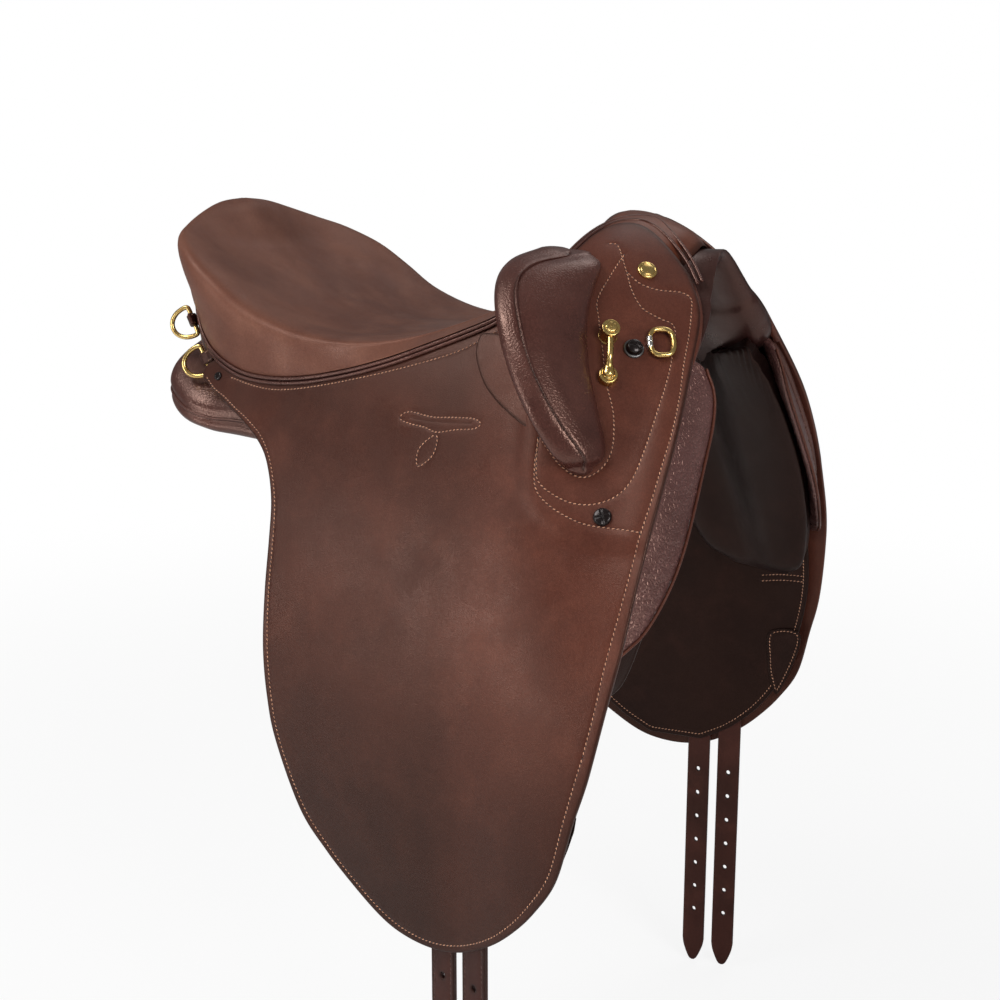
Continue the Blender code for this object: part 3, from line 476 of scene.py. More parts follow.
class Paint:
    """A Principled material and the nodes that feed it."""

    def __init__(self, name, **constants):
        self.material = bpy.data.materials.new(name)
        self.material.use_nodes = True
        self.tree = self.material.node_tree
        self.shader = self.tree.nodes["Principled BSDF"]
        for key, value in constants.items():
            self.shader.inputs[key.replace("_", " ")].default_value = value
        self.place = self.node("TexCoord", "Object", {})
        self.bumped = None

    def link(self, source, socket):
        if hasattr(source, "is_output"):
            self.tree.links.new(source, socket)
        else:
            socket.default_value = source

    def node(self, kind, output, inputs, **settings):
        """Adds a node, gives each named input a value or a link, and returns one of its outputs."""
        node = self.tree.nodes.new("ShaderNode" + kind)
        for key, value in settings.items():
            setattr(node, key, value)
        for key, source in inputs.items():
            self.link(source, node.inputs[key])
        return node.outputs[output]

    def mapped(self, scale, turn=(0.0, 0.0, 0.0)):
        return self.node("Mapping", "Vector", {"Scale": scale, "Rotation": turn, "Vector": self.place})

    def noise(self, scale, detail=3.0, roughness=0.55, place=None):
        return self.node("TexNoise", "Fac", {"Scale": scale, "Detail": detail, "Roughness": roughness,
                                             "Vector": self.place if place is None else place})

    def cells(self, size, place):
        return self.node("TexVoronoi", "Distance", {"Scale": 1.0 / size, "Vector": place},
                         feature="DISTANCE_TO_EDGE")

    def spread(self, value, low, high, to_low=0.0, to_high=1.0):
        return self.node("MapRange", "Result", {"From Min": low, "From Max": high, "To Min": to_low,
                                                "To Max": to_high, "Value": value},
                         interpolation_type="SMOOTHSTEP")

    def mix(self, factor, first, second, blend="MIX"):
        return self.node("Mix", "Result", {"Factor": factor, "A": first, "B": second},
                         data_type="RGBA", blend_type=blend)

    def shade(self, colour, factor):
        return self.mix(1.0, colour, factor, "MULTIPLY")

    def bump(self, height, distance):
        below = {} if self.bumped is None else {"Normal": self.bumped}
        self.bumped = self.node("Bump", "Normal", {"Distance": distance, "Height": height, **below})

    def finish(self, colour, roughness):
        self.link(colour, self.shader.inputs["Base Color"])
        self.link(roughness, self.shader.inputs["Roughness"])
        if self.bumped is not None:
            self.link(self.bumped, self.shader.inputs["Normal"])
        return self.material


def grey(value):
    return (value, value, value, 1.0)


WARM = (1.0, 0.62, 0.50, 1.0)
CLOUD_SCALE = 9.0
CLOUD_DEPTH = 0.0003
PATCH_SCALE = 34.0
SPECK_SCALE = 520.0
SHINE_SCALE = 22.0
CREASE_STRETCH = (55.0, 55.0, 240.0)

# Painted shade and painted light in the flap's colour: from, to, and what it is multiplied by at either end
# Low: darker towards the bottom, partly painted shade where the flap curves under, partly the leather's own
# tone
LOW_SHADE_AND_TONE = (-0.36, -0.10, 0.40, 1.0)
# High: darker up by the seat, partly painted shade, partly the leather's own tone
HIGH_SHADE_AND_TONE = (0.08, -0.03, 0.62, 1.0)
# Front: painted light, brighter towards the front as if lit from there; it also keeps the darkening by the
# seat to the rear
FRONT_PAINTED_LIGHT = (0.09, 0.16, 0.62, 1.45)


def leather(name, dark, base, light, edge, grain, depth, shine, gloss=0.3, mottle=1.0, creases=0.0,
            painted_shade_and_light=False):
    """Waxed leather: cloudy colour, pores or pebbles of size grain, dark burnished edges and painted shade
    along sewn grooves; its last option adds painted shade low and by the seat and painted light at the front.
    """
    dark, base, light, edge = (srgb(*colour) for colour in (dark, base, light, edge))
    paint = Paint(name, Specular_IOR_Level=gloss, Specular_Tint=WARM)
    clouds = paint.noise(CLOUD_SCALE, 4.0, 0.6)
    patches = paint.noise(PATCH_SCALE, 5.0, 0.6)
    specks = paint.noise(SPECK_SCALE, 3.0, 0.6)
    colour = paint.mix(paint.spread(clouds, 0.34, 0.66), dark, base)
    colour = paint.mix(paint.spread(patches, 0.46, 0.78, 0.0, 0.55 * mottle), colour, light)
    colour = paint.shade(colour, paint.spread(specks, 0.3, 0.7, 0.90, 1.08))
    drift = paint.node("TexNoise", "Color", {"Scale": 0.35 / grain, "Vector": paint.place})
    warp = paint.node("VectorMath", "Vector", {0: drift, 1: (grain * 0.9,) * 3, 2: paint.place},
                      operation="MULTIPLY_ADD")
    pebbles = paint.spread(paint.cells(grain, warp), 0.0, 0.30)
    colour = paint.shade(colour, paint.spread(pebbles, 0.0, 1.0, 0.86, 1.03))
    paint.bump(pebbles, depth)
    paint.bump(specks, depth * 0.22)
    if creases:
        ripples = paint.noise(1.0, 4.0, 0.6, paint.mapped(CREASE_STRETCH))
        paint.bump(ripples, creases)
    paint.bump(clouds, CLOUD_DEPTH)
    if painted_shade_and_light:
        x, z = (paint.node("SeparateXYZ", axis, {0: paint.place}) for axis in "XZ")
        # Painted shade low on the flap, partly the leather's own tone
        colour = paint.shade(colour, paint.spread(z, *LOW_SHADE_AND_TONE))
        # Painted shade by the seat and painted light towards the front
        front = paint.node("Math", 0, {0: paint.spread(z, *HIGH_SHADE_AND_TONE), 1: paint.spread(x, *FRONT_PAINTED_LIGHT)},
                           operation="MAXIMUM")
        colour = paint.shade(colour, front)
    # Dark edge colour where edges are worn, and painted shade along sewn grooves
    edge_wear_and_seam_shade = paint.node("Attribute", "Fac", {}, attribute_name="wear_and_seam_shade")
    colour = paint.mix(paint.spread(edge_wear_and_seam_shade, 0.15, 0.95, 0.0, 0.85), colour, edge)
    rough = paint.spread(paint.noise(SHINE_SCALE, 4.0, 0.65), 0.3, 0.7, shine - 0.06, shine + 0.08)
    return paint.finish(colour, rough)


def metal(name, colour, tarnish, rough, metallic=1.0, scratch=0.00001):
    """Brushed metal that is clouded by tarnish."""
    paint = Paint(name, Metallic=metallic)
    clouds = paint.noise(160.0, 4.0, 0.6)
    brushed = paint.noise(1.0, 3.0, 0.6, paint.mapped((1500.0, 1500.0, 240.0), (0.3, 0.2, 0.0)))
    shade = paint.mix(paint.spread(clouds, 0.42, 0.75), srgb(*colour), srgb(*tarnish))
    paint.bump(brushed, scratch)
    return paint.finish(shade, paint.spread(clouds, 0.3, 0.7, rough - 0.05, rough + 0.09))


def thread_paint(name, light, dark):
    paint = Paint(name, Sheen_Weight=0.25)
    twist = paint.noise(1.0, 2.0, 0.5, paint.mapped((2600.0,) * 3))
    paint.bump(twist, 0.00008)
    colour = paint.mix(paint.spread(paint.noise(180.0), 0.35, 0.7), srgb(*light), srgb(*dark))
    return paint.finish(colour, 0.7)


flap_leather = leather("flap_leather", (60, 31, 24), (72, 38, 29), (92, 52, 40), (38, 19, 15),
                       grain=0.0011, depth=0.00004, shine=0.36, gloss=0.36, mottle=0.7, painted_shade_and_light=True)
# Flap leather about 1.4 times lighter: painted light for the head, as at the lit front of the flaps
lit_front_leather = leather("lit_front_leather", (86, 45, 32), (104, 58, 42), (126, 74, 54), (50, 26, 19),
                         grain=0.0011, depth=0.00004, shine=0.36, gloss=0.40, mottle=0.7)
seat_leather = leather("seat_leather", (92, 56, 45), (110, 70, 56), (130, 88, 71), (48, 27, 21),
                       grain=0.0013, depth=0.00006, shine=0.42, gloss=0.34, mottle=0.6)
pad_leather = leather("pad_leather", (56, 30, 27), (72, 41, 36), (92, 56, 48), (30, 16, 15),
                      grain=0.0024, depth=0.00008, shine=0.30, gloss=0.75, mottle=0.6)
arch_leather = leather("arch_leather", (38, 20, 18), (48, 26, 24), (62, 36, 33), (24, 12, 11),
                       grain=0.0024, depth=0.00004, shine=0.32, gloss=0.60, mottle=0.6)
roll_leather = leather("roll_leather", (72, 45, 43), (92, 61, 59), (114, 80, 77), (60, 36, 32),
                       grain=0.0032, depth=0.00030, shine=0.32, gloss=0.95, mottle=0.6, creases=0.0002)
inner_leather = leather("inner_leather", (21, 10, 9), (28, 15, 13), (40, 23, 20), (16, 8, 7),
                        grain=0.0014, depth=0.00006, shine=0.38, gloss=0.24, mottle=0.9)
strap_leather = leather("strap_leather", (44, 20, 17), (58, 28, 24), (78, 41, 34), (28, 14, 13),
                        grain=0.0010, depth=0.00006, shine=0.38, gloss=0.34)
lining_leather = leather("lining_leather", (21, 10, 9), (28, 15, 12), (42, 23, 19), (16, 8, 7),
                         grain=0.0012, depth=0.00005, shine=0.44, gloss=0.22)
brass = metal("brass", (222, 190, 122), (184, 146, 82), 0.22)
silver = metal("silver", (214, 212, 206), (170, 168, 162), 0.25)
steel = metal("steel", (120, 118, 118), (88, 86, 86), 0.34)
black_metal = metal("black_metal", (34, 26, 25), (20, 15, 15), 0.22, metallic=0.5)
tree_shell = metal("tree_shell", (46, 44, 43), (30, 29, 28), 0.5, metallic=0.0, scratch=0.0002)
thread = thread_paint("thread", (206, 150, 116), (160, 108, 80))
dark_thread = thread_paint("dark_thread", (96, 62, 50), (60, 38, 32))
# Dark awl holes: painted shade in the holes
awl_hole_shade = thread_paint("awl_hole_shade", (34, 17, 14), (24, 12, 10))


# Flaps and facings: one stitched leather surface, raised where the facing lies under it
FLAP_EDGE = (
    (-0.1555, 0.0235), (-0.1530, 0.0195), (-0.1250, 0.0040), (-0.1000, -0.0090), (-0.0770, -0.0240),
    (-0.0640, -0.0400), (-0.0545, -0.0650), (-0.0515, -0.0950), (-0.0505, -0.1350), (-0.0480, -0.1800),
    (-0.0410, -0.2180), (-0.0310, -0.2490), (-0.0040, -0.2990), (0.0220, -0.3245), (0.0480, -0.3440),
    (0.0770, -0.3620), (0.1000, -0.3700), (0.1280, -0.3718), (0.1550, -0.3660), (0.1820, -0.3510),
    (0.2030, -0.3330), (0.2220, -0.3110), (0.2390, -0.2830), (0.2500, -0.2400), (0.2590, -0.2050),
    (0.2670, -0.1510), (0.2705, -0.1180), (0.2715, -0.0800), (0.2720, -0.0550), (0.2720, -0.0250),
    (0.2700, 0.0120), (0.2635, 0.0500), (0.2560, 0.0820), (0.2420, 0.1030), (0.2270, 0.1190),
    (0.2110, 0.1330), (0.1970, 0.1425), (0.1850, 0.1465), (0.1750, 0.1450), (0.1680, 0.1390),
    (0.1620, 0.1270), (0.1560, 0.1120), (0.1420, 0.0930), (0.1250, 0.0800), (0.1050, 0.0700),
    (0.0700, 0.0585), (0.0350, 0.0450), (0.0050, 0.0360), (-0.0250, 0.0300), (-0.0550, 0.0265),
    (-0.0980, 0.0255), (-0.1250, 0.0310), (-0.1430, 0.0350), (-0.1530, 0.0310))
FACING_ZONE = (
    (0.280, -0.0560), (0.235, -0.0560), (0.212, -0.0500), (0.195, -0.0410), (0.184, -0.0290),
    (0.178, -0.0130), (0.175, 0.0080), (0.170, 0.0300), (0.160, 0.0600), (0.157, 0.0900),
    (0.158, 0.1150), (0.160, 0.1500), (0.300, 0.1500), (0.300, -0.0560))
FACING_FADE = 0.011
EDGE_THIN = 0.014
THIN_X = 0.225
THIN_X_RUN = 0.025
THIN_Z = 0.095
THIN_Z_RUN = 0.03
THIN_SHARE = 0.75
FRONT_LINE = (
    (0.2535, -0.1938), (0.2578, -0.1647), (0.2600, -0.1354), (0.2635, -0.0985), (0.2655, -0.0568),
    (0.2670, -0.0320), (0.2670, -0.0120), (0.2665, 0.0090), (0.2635, 0.0300), (0.2575, 0.0530),
    (0.2530, 0.0720), (0.2475, 0.0880), (0.2440, 0.0940), (0.2360, 0.0980), (0.2220, 0.1000),
    (0.2100, 0.1050), (0.2000, 0.1130))
REAR_LINE = (
    (-0.1508, 0.0216), (-0.1386, 0.0130), (-0.1256, 0.0078), (-0.1104, 0.0000), (-0.0933, -0.0080),
    (-0.0745, -0.0200), (-0.0605, -0.0380), (-0.0500, -0.0650), (-0.0465, -0.0950), (-0.0455, -0.1350),
    (-0.0430, -0.1790), (-0.0362, -0.2165), (-0.0265, -0.2465), (-0.0003, -0.2950), (0.0250, -0.3205),
    (0.0503, -0.3395), (0.0783, -0.3567), (0.1010, -0.3648), (0.1275, -0.3666), (0.1536, -0.3607),
    (0.1790, -0.3470), (0.1993, -0.3293), (0.2165, -0.3085), (0.2337, -0.2800), (0.2435, -0.2390),
    (0.2535, -0.1938))
SEAT_LINE = (
    (-0.1234, 0.0228), (-0.0927, 0.0180), (-0.0660, 0.0175), (-0.0307, 0.0228), (0.0140, 0.0328),
    (0.0565, 0.0440), (0.0966, 0.0570), (0.1249, 0.0725))
# Seams on the facing: A behind the ring, B in front of it, D along the facing's lower edge
LINE_A = (
    (0.1940, 0.1250), (0.1922, 0.1090), (0.1912, 0.0940), (0.1965, 0.0810), (0.2060, 0.0590),
    (0.2130, 0.0410), (0.2240, 0.0200), (0.2300, 0.0000), (0.2290, -0.0120), (0.2220, -0.0195),
    (0.2130, -0.0200), (0.2020, -0.0140), (0.1920, -0.0050), (0.1810, 0.0070), (0.1710, 0.0210))
LINE_B = (
    (0.1810, 0.1320), (0.1880, 0.1300), (0.2000, 0.1130), (0.2080, 0.1000), (0.2180, 0.0880),
    (0.2300, 0.0810), (0.2420, 0.0745), (0.2480, 0.0560), (0.2510, 0.0400), (0.2520, 0.0180),
    (0.2520, -0.0020), (0.2500, -0.0200), (0.2430, -0.0310), (0.2300, -0.0370), (0.2150, -0.0370),
    (0.2010, -0.0320), (0.1900, -0.0250), (0.1860, -0.0170), (0.1820, 0.0040))
LINE_D = (
    (0.1825, 0.0040), (0.1840, -0.0130), (0.1880, -0.0280), (0.1970, -0.0370), (0.2120, -0.0450),
    (0.2310, -0.0505), (0.2660, -0.0520))
FLAP_SEAMS = (FRONT_LINE, REAR_LINE, SEAT_LINE, LINE_A, LINE_B, LINE_D)
SLOT_LINE = (
    (0.0590, 0.0075), (0.0670, 0.0125), (0.0890, 0.0108), (0.1090, 0.0122), (0.1260, 0.0128),
    (0.1330, 0.0100), (0.1280, 0.0062), (0.1120, 0.0040), (0.0960, 0.0008), (0.0840, 0.0032),
    (0.0690, 0.0045))
DROP_LINE = ((0.0950, -0.0010), (0.0830, -0.0120), (0.0850, -0.0240), (0.0960, -0.0160), (0.0980, -0.0060))
SLIT_LINE = ((0.0690, 0.0085), (0.0850, 0.0078), (0.1050, 0.0084), (0.1245, 0.0096))
CREASES = (
    ((0.1101, -0.3491), (0.1270, -0.3480), (0.1435, -0.3443), (0.1775, -0.3244), (0.2055, -0.2911)),
    ((0.1148, -0.3560), (0.1310, -0.3560), (0.1471, -0.3528), (0.1887, -0.3272), (0.2204, -0.2864)))
FLAP_PITCH = 0.0034
FINE_PITCH = 0.0032
CREASE_SINK = 0.00035
WAVE_SCALE = 11.0
WAVE_HEIGHT = 0.0009


def flap_level(points, edge, zone):
    gap = distance(points, zone, True)
    within = inside(points, zone)
    share = np.where(within, 1.0, 1.0 - smooth(gap / FACING_FADE))
    thin = smooth(distance(points, edge, True) / EDGE_THIN)
    front = smooth((points[:, 0] - THIN_X) / THIN_X_RUN) * smooth((THIN_Z - points[:, 1]) / THIN_Z_RUN)
    return FACING_RISE * share * (1.0 - front * (1.0 - thin) * THIN_SHARE)


def swell(points, seed):
    waves = [noise.noise(Vector((x * WAVE_SCALE, z * WAVE_SCALE, seed))) for x, z in points]
    return np.array(waves) * WAVE_HEIGHT


def make_flap(tag, side):
    edge = even(curve(FLAP_EDGE, True), RIM_STEP, True)
    zone = even(FACING_ZONE, 0.004, True)
    seams = [even(curve(line), 0.002) for line in FLAP_SEAMS]
    loops = [looped(even(curve(line, True), 0.002, True)) for line in (SLOT_LINE, DROP_LINE)]
    slit = even(curve(SLIT_LINE), 0.002)
    creases = [even(curve(line), 0.003) for line in CREASES]

    def lift(points):
        return flap_level(points, edge, zone)

    def relief(points):
        waves = swell(points, 3.0 + side) * smooth((-0.05 - points[:, 1]) / 0.1)
        for line in creases:
            waves -= CREASE_SINK * np.exp(-(distance(points, line) / SEAM_WIDTH) ** 2)
        return waves

    flap = leather_cut("flap_leather_" + tag, partial(skin, side), edge, lift, FLAP_THICKNESS, flap_leather,
                       seams + loops + [slit], relief=relief)
    shells = Shells()
    for line in seams:
        sew(shells, *on_skin(side, line, lambda p: lift(p) + relief(p)), FLAP_PITCH)
    for line in loops:
        sew(shells, *on_skin(side, line, lift), FINE_PITCH)
    threads = shells.build("flap_stitches_" + tag, thread, awl_hole_shade)
    for obj in (flap, threads):
        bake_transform(obj)
    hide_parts("flap_" + tag, "flap_skirt_" + tag, "facing_" + tag)


# Seat: a closed cushion over the tree. Each station holds its lower edge (x, z, and the half width
# where the edge leaves the flap), its shoulder (x, half width, z) and its centre (x, z)
SEAT_STATIONS = (
    ((0.157, 0.1200), (0.160, 0.060, 0.138), (0.163, 0.1470)),
    ((0.140, 0.0985), (0.142, 0.084, 0.112), (0.144, 0.1230)),
    ((0.129, 0.0888), (0.130, 0.096, 0.100), (0.131, 0.1090)),
    ((0.118, 0.0800), (0.118, 0.104, 0.089), (0.118, 0.0970)),
    ((0.072, 0.0615), (0.072, 0.117, 0.071), (0.072, 0.0755)),
    ((0.033, 0.0475), (0.033, 0.124, 0.061), (0.033, 0.0660)),
    ((-0.010, 0.0360), (-0.010, 0.131, 0.057), (-0.010, 0.0640)),
    ((-0.056, 0.0285), (-0.056, 0.137, 0.062), (-0.056, 0.0710)),
    ((-0.101, 0.0285), (-0.101, 0.141, 0.078), (-0.100, 0.0870)),
    ((-0.134, 0.0370), (-0.134, 0.142, 0.100), (-0.128, 0.1020)),
    ((-0.162, 0.0530, 0.1220), (-0.162, 0.138, 0.119), (-0.152, 0.1160)),
    ((-0.184, 0.0760, 0.1060), (-0.188, 0.121, 0.134), (-0.174, 0.1310)),
    ((-0.198, 0.0980, 0.0860), (-0.202, 0.095, 0.143), (-0.187, 0.1465)),
    ((-0.207, 0.1160, 0.0580), (-0.213, 0.062, 0.1528), (-0.197, 0.1562)),
    ((-0.2115, 0.1240, 0.0300), (-0.2180, 0.034, 0.1602), (-0.2035, 0.1610)),
    ((-0.2135, 0.1265, 0.0030), (-0.2195, 0.0060, 0.1634), (-0.2085, 0.1634)),
    ((-0.2138, 0.1268, 0.0003), (-0.2198, 0.0010, 0.1635), (-0.2090, 0.1635)))
SEAT_LIFT = 0.0027
SEAT_BACK_STATION = 9
SEAT_TUCK = 0.0026
SEAT_TUCK_DROP = 0.0012
SEAT_BELLY = 0.0016
SEAT_HOLLOW = 0.0100
HOLLOW_START_Y = 0.05
HOLLOW_RUN = 0.07
ROUND_START_X = 0.05
ROUND_RUN = 0.15
RIM_BULGE = 0.0055
RIM_BULGE_SHARE = 0.07
RIM_SWELL = 0.0060
RIM_SWELL_SHARE = 0.10
RIM_PASSES = 30
RIM_KEPT = 11.0
RIM_FADE = 8.0
SEAT_FLOOR_RISE = 0.0040
SEAT_LEAST = 0.0008
SEAT_DEPTHS = (0.006, 0.006, 0.007, 0.012) + (0.03,) * 9 + (0.012, 0.009, 0.006, 0.005)
WELT_START = 2
WELT_BACK = (-0.2140, 0.1266)
WELT_BED = 0.0016
SEAT_MIDDLE_X = -0.09

# Beads of the seat's welt: name, way below the edge, way out, radius
WELT_BEADS = (("upper", 0.0038, 0.0017, 0.0016), ("lower", 0.0070, 0.0013, 0.0014))


def seat_edge(station):
    """Left point where the cushion meets the flap or, behind it, the cantle leather."""
    edge = station[0]
    if len(edge) == 3:
        return np.array([edge[0], edge[2], edge[1]])
    return skin(1, edge[0], edge[1], SEAT_LIFT)


def seat_out(edge):
    """Level way outward from the middle of the seat."""
    return unit(np.array([edge[0] - SEAT_MIDDLE_X, edge[1], 0.0]))


def mirrored(points):
    return np.asarray(points) * np.array([1.0, -1.0, 1.0])


def seat_row(station, depth):
    """Top and underside of the cushion across one station, from its left edge to its right edge."""
    edge = seat_edge(station)
    shoulder = np.array(station[1])
    centre = np.array([station[2][0], 0.0, station[2][1]])
    middle = np.array([0.5 * (shoulder[0] + centre[0]), 0.5 * shoulder[1],
                       0.4 * shoulder[2] + 0.6 * centre[2]])
    out = seat_out(edge)
    belly = 0.55 * edge + 0.45 * shoulder + out * SEAT_BELLY
    tuck = edge - out * SEAT_TUCK - SEAT_TUCK_DROP * UP
    round_off = smooth((ROUND_START_X - shoulder[0]) / ROUND_RUN)
    hollow = SEAT_HOLLOW * round_off * smooth((shoulder[1] - HOLLOW_START_Y) / HOLLOW_RUN)
    middle = middle - hollow * UP
    centre = centre - 0.8 * hollow * UP
    bulge = min(RIM_BULGE, RIM_BULGE_SHARE * np.linalg.norm(shoulder - edge)) * round_off
    swelling = min(RIM_SWELL, RIM_SWELL_SHARE * np.linalg.norm(middle - shoulder)) * round_off
    outer = 0.35 * belly + 0.65 * shoulder + out * bulge
    inner = 0.68 * shoulder + 0.32 * middle + swelling * UP
    shoulder = shoulder + 0.45 * swelling * UP
    half = [tuck, edge, belly, outer, shoulder, inner, middle, centre]
    top = curve(half + [mirrored(p) for p in reversed(half[:-1])], per=7)
    rounded = top.copy()
    for _ in range(RIM_PASSES):
        rounded[1:-1] = 0.5 * rounded[1:-1] + 0.25 * (rounded[:-2] + rounded[2:])
    place = np.arange(len(top))
    share = smooth((np.minimum(place, len(top) - 1 - place) - RIM_KEPT) / RIM_FADE) * round_off
    top = top + (rounded - top) * share[:, None]
    floor = np.maximum(edge[2] + SEAT_FLOOR_RISE, top[:, 2] - depth)
    low = np.column_stack([top[:, 0], top[:, 1] * 0.9, np.minimum(floor, top[:, 2] - SEAT_LEAST)])
    return top, low


def make_seat():
    rows = [seat_row(station, depth) for station, depth in zip(SEAT_STATIONS, SEAT_DEPTHS)]
    stack = np.array([np.vstack([top, low[::-1]]) for top, low in rows])
    count = stack.shape[1]
    fine = np.stack([curve(stack[:, k], per=5) for k in range(count)], axis=1)
    wear_and_seam_shade = np.zeros(fine.shape[:2])
    rim = np.arange(count // 2)
    wear_and_seam_shade[:, :count // 2] = np.exp(-(np.minimum(rim, count // 2 - 1 - rim) / 5.0) ** 2) * 0.5
    seat = piece("seat_cushion", *lofted(fine), seat_leather, np.r_[wear_and_seam_shade.reshape(-1), 0.0, 0.0])
    for face in seat.data.polygons[-2 * count:]:
        face.use_smooth = False
    attach(seat, "saddle", "seat_leather", "seat_cover", "seat_foam", fill=0.8)
    for label, drop, lift, radius in WELT_BEADS:
        path = []
        for i in range(WELT_START, len(SEAT_STATIONS) - 2):
            edge = seat_edge(SEAT_STATIONS[i])
            if i <= SEAT_BACK_STATION:
                path.append(skin(1, edge[0], edge[2] - drop, lift))
            else:
                path.append(edge + seat_out(edge) * (lift - WELT_BED) - drop * UP)
        path.append(np.array([WELT_BACK[0] - lift + WELT_BED, 0.0, WELT_BACK[1] - drop]))
        full = curve(path + [mirrored(p) for p in reversed(path[:-1])], per=8)
        welt = piece("seat_welt_" + label, *cord(even(full, 0.004), radius), pad_leather)
        attach(welt, "saddle", "pad_leather", *(("seat_welt",) if label == "upper" else ()))


SQUARENESS = 0.62
PAD_END_REACH = 0.004


def squared(value, power=SQUARENESS):
    return np.sign(value) * np.abs(value) ** power


def grid_normals(grid, closed=False):
    along = np.gradient(grid, axis=0)
    if closed:
        across = (np.roll(grid, -1, axis=1) - np.roll(grid, 1, axis=1)) * 0.5
    else:
        across = np.gradient(grid, axis=1)
    return unit(np.cross(along, across))


def outward(rings):
    """Normals of closed rings that point away from the rings' middles."""
    normals = grid_normals(rings, True)
    middles = rings.mean(axis=1, keepdims=True)
    return normals if np.sum(normals * (rings - middles)) >= 0 else -normals


def unrest(rings, scale, layers=0):
    """Noise at every point of the rings, in waves of 1 / scale; layers adds finer ones."""
    def at(place):
        return noise.fractal(place, 0.9, 2.0, layers) if layers else noise.noise(place)
    return np.array([[at(Vector(p)) for p in ring] for ring in rings * np.array(scale)])


def slab(name, grid, thickness, material, edge=0.0008):
    """A sheet of even thickness from a grid of points on its outer face, with a rounded rim."""
    grid = np.asarray(grid, float)
    normals = grid_normals(grid)
    i, j = np.indices(grid.shape[:2])
    reach = np.minimum(np.minimum(i, j), np.minimum(i.max() - i, j.max() - j))
    wear_and_seam_shade = np.exp(-(reach / 1.2) ** 2)
    outer = grid - normals * edge * (reach == 0)[..., None]
    inner = grid - normals * thickness + normals * edge * (reach == 0)[..., None]
    rings = np.concatenate([outer, inner[:, ::-1]], axis=1)
    rows, count = rings.shape[:2]
    faces = tube_faces(rows, count)
    half = count // 2
    for start, flip in ((0, True), ((rows - 1) * count, False)):
        for j in range(half - 1):
            quad = (start + j, start + j + 1, start + count - 2 - j, start + count - 1 - j)
            faces.append(quad[::-1] if flip else quad)
    marks = np.concatenate([wear_and_seam_shade, wear_and_seam_shade[:, ::-1] * 0.6], axis=1)
    return piece(name, rings.reshape(-1, 3), faces, material, marks.reshape(-1))


# Leather over the back of the cantle
CANTLE_LOW = ((-0.140, 0.1200, 0.0220), (-0.166, 0.1120, 0.0310), (-0.187, 0.0980, 0.0430),
              (-0.202, 0.0760, 0.0520), (-0.211, 0.0480, 0.0610), (-0.214, 0.0180, 0.0630))
CANTLE_INSET = 0.0030
CANTLE_THICKNESS = 0.0022
CANTLE_BULGE = 0.0025


def make_cantle():
    tops = []
    for station in SEAT_STATIONS[SEAT_BACK_STATION:-2]:
        edge = seat_edge(station)
        tops.append(edge - seat_out(edge) * CANTLE_INSET)
    lows = [np.array(p) for p in CANTLE_LOW]
    tops = curve(tops[:len(lows)] + [mirrored(p) for p in reversed(tops[:len(lows)])], per=6)
    lows = curve(lows + [mirrored(p) for p in reversed(lows)], per=6)
    shares = np.linspace(0.0, 1.0, 9)
    grid = np.array([[low * (1.0 - s) + top * s for s in shares] for low, top in zip(lows, tops)])
    out = unit(np.array([1.0, 1.0, 0.0]) * (grid - np.array([SEAT_MIDDLE_X, 0.0, 0.0])))
    grid = grid + out * (CANTLE_BULGE * np.sin(math.pi * shares))[None, :, None]
    cantle = slab("cantle_leather", grid, CANTLE_THICKNESS, flap_leather)
    attach(cantle, "saddle", "seat_leather", "cantle_back")
    sewn = (slice(4, -4), 1)
    stitch("cantle_stitches", "saddle", [(grid[sewn], grid_normals(grid)[sewn], FINE_PITCH)], thread)


# Head: the leather over the pommel, its double welt, and the soft roll round the front arch
HEAD_ROWS = ((0.170, 0.208, 0.066), (0.168, 0.218, 0.054), (0.166, 0.226, 0.038), (0.165, 0.230, 0.019),
             (0.165, 0.231, 0.0))
HEAD_PADDING = 0.0022
HEAD_PADDED_Y = 0.046
HEAD_PADDED_RUN = 0.02
HEAD_ROUND = 0.014
HEAD_ROUND_DROP = 0.006
HEAD_THICKNESS = 0.0020
HEAD_WELT = ((0.1560, 0.1120), (0.1610, 0.1270), (0.1670, 0.1395), (0.1745, 0.1462), (0.1850, 0.1480),
             (0.1975, 0.1440), (0.2120, 0.1345), (0.2280, 0.1205), (0.2430, 0.1040))

# Beads of the head's welt: way beside the line, lift, radius
HEAD_WELT_BEADS = ((0.0012, 0.0015, 0.0014), (0.0040, 0.0012, 0.0013))

# Pad that lines the front arch: height, rear end, front end, thickness, and the same at its top
ARCH_ROWS = (
    (0.018, 0.138, 0.172, 0.016), (0.028, 0.138, 0.196, 0.023), (0.040, 0.138, 0.224, 0.030),
    (0.052, 0.138, 0.248, 0.033), (0.064, 0.140, 0.2600, 0.033), (0.078, 0.142, 0.2610, 0.031),
    (0.091, 0.150, 0.2590, 0.027), (0.101, 0.160, 0.2550, 0.021))
ARCH_TOP = (0.190, 0.2470, 0.014)
ARCH_TOP_Z = 0.1330
ARCH_LIFT = -0.0040
ARCH_SIDES = 64
ARCH_FOLD = 0.0002
ARCH_FOLD_SCALE = (45.0, 120.0, 90.0)
ARCH_BELLY_POWER = 0.9
FOLD_PATH = ((0.2290, 0.1175), (0.2420, 0.1030), (0.2525, 0.0870), (0.2585, 0.0700), (0.2600, 0.0560))
FOLD_LIFT = -0.0032
FOLD_RADIUS = 0.0032


def head_height(x, y):
    """Height at which the side leathers are 2 y wide, found by halving."""
    low = np.zeros_like(x)
    high = np.full_like(x, SKIN_BASE_Z + BARREL_HEIGHT)
    for _ in range(40):
        middle = 0.5 * (low + high)
        wide = half_width(x, middle) > y
        low = np.where(wide, middle, low)
        high = np.where(wide, high, middle)
    return low


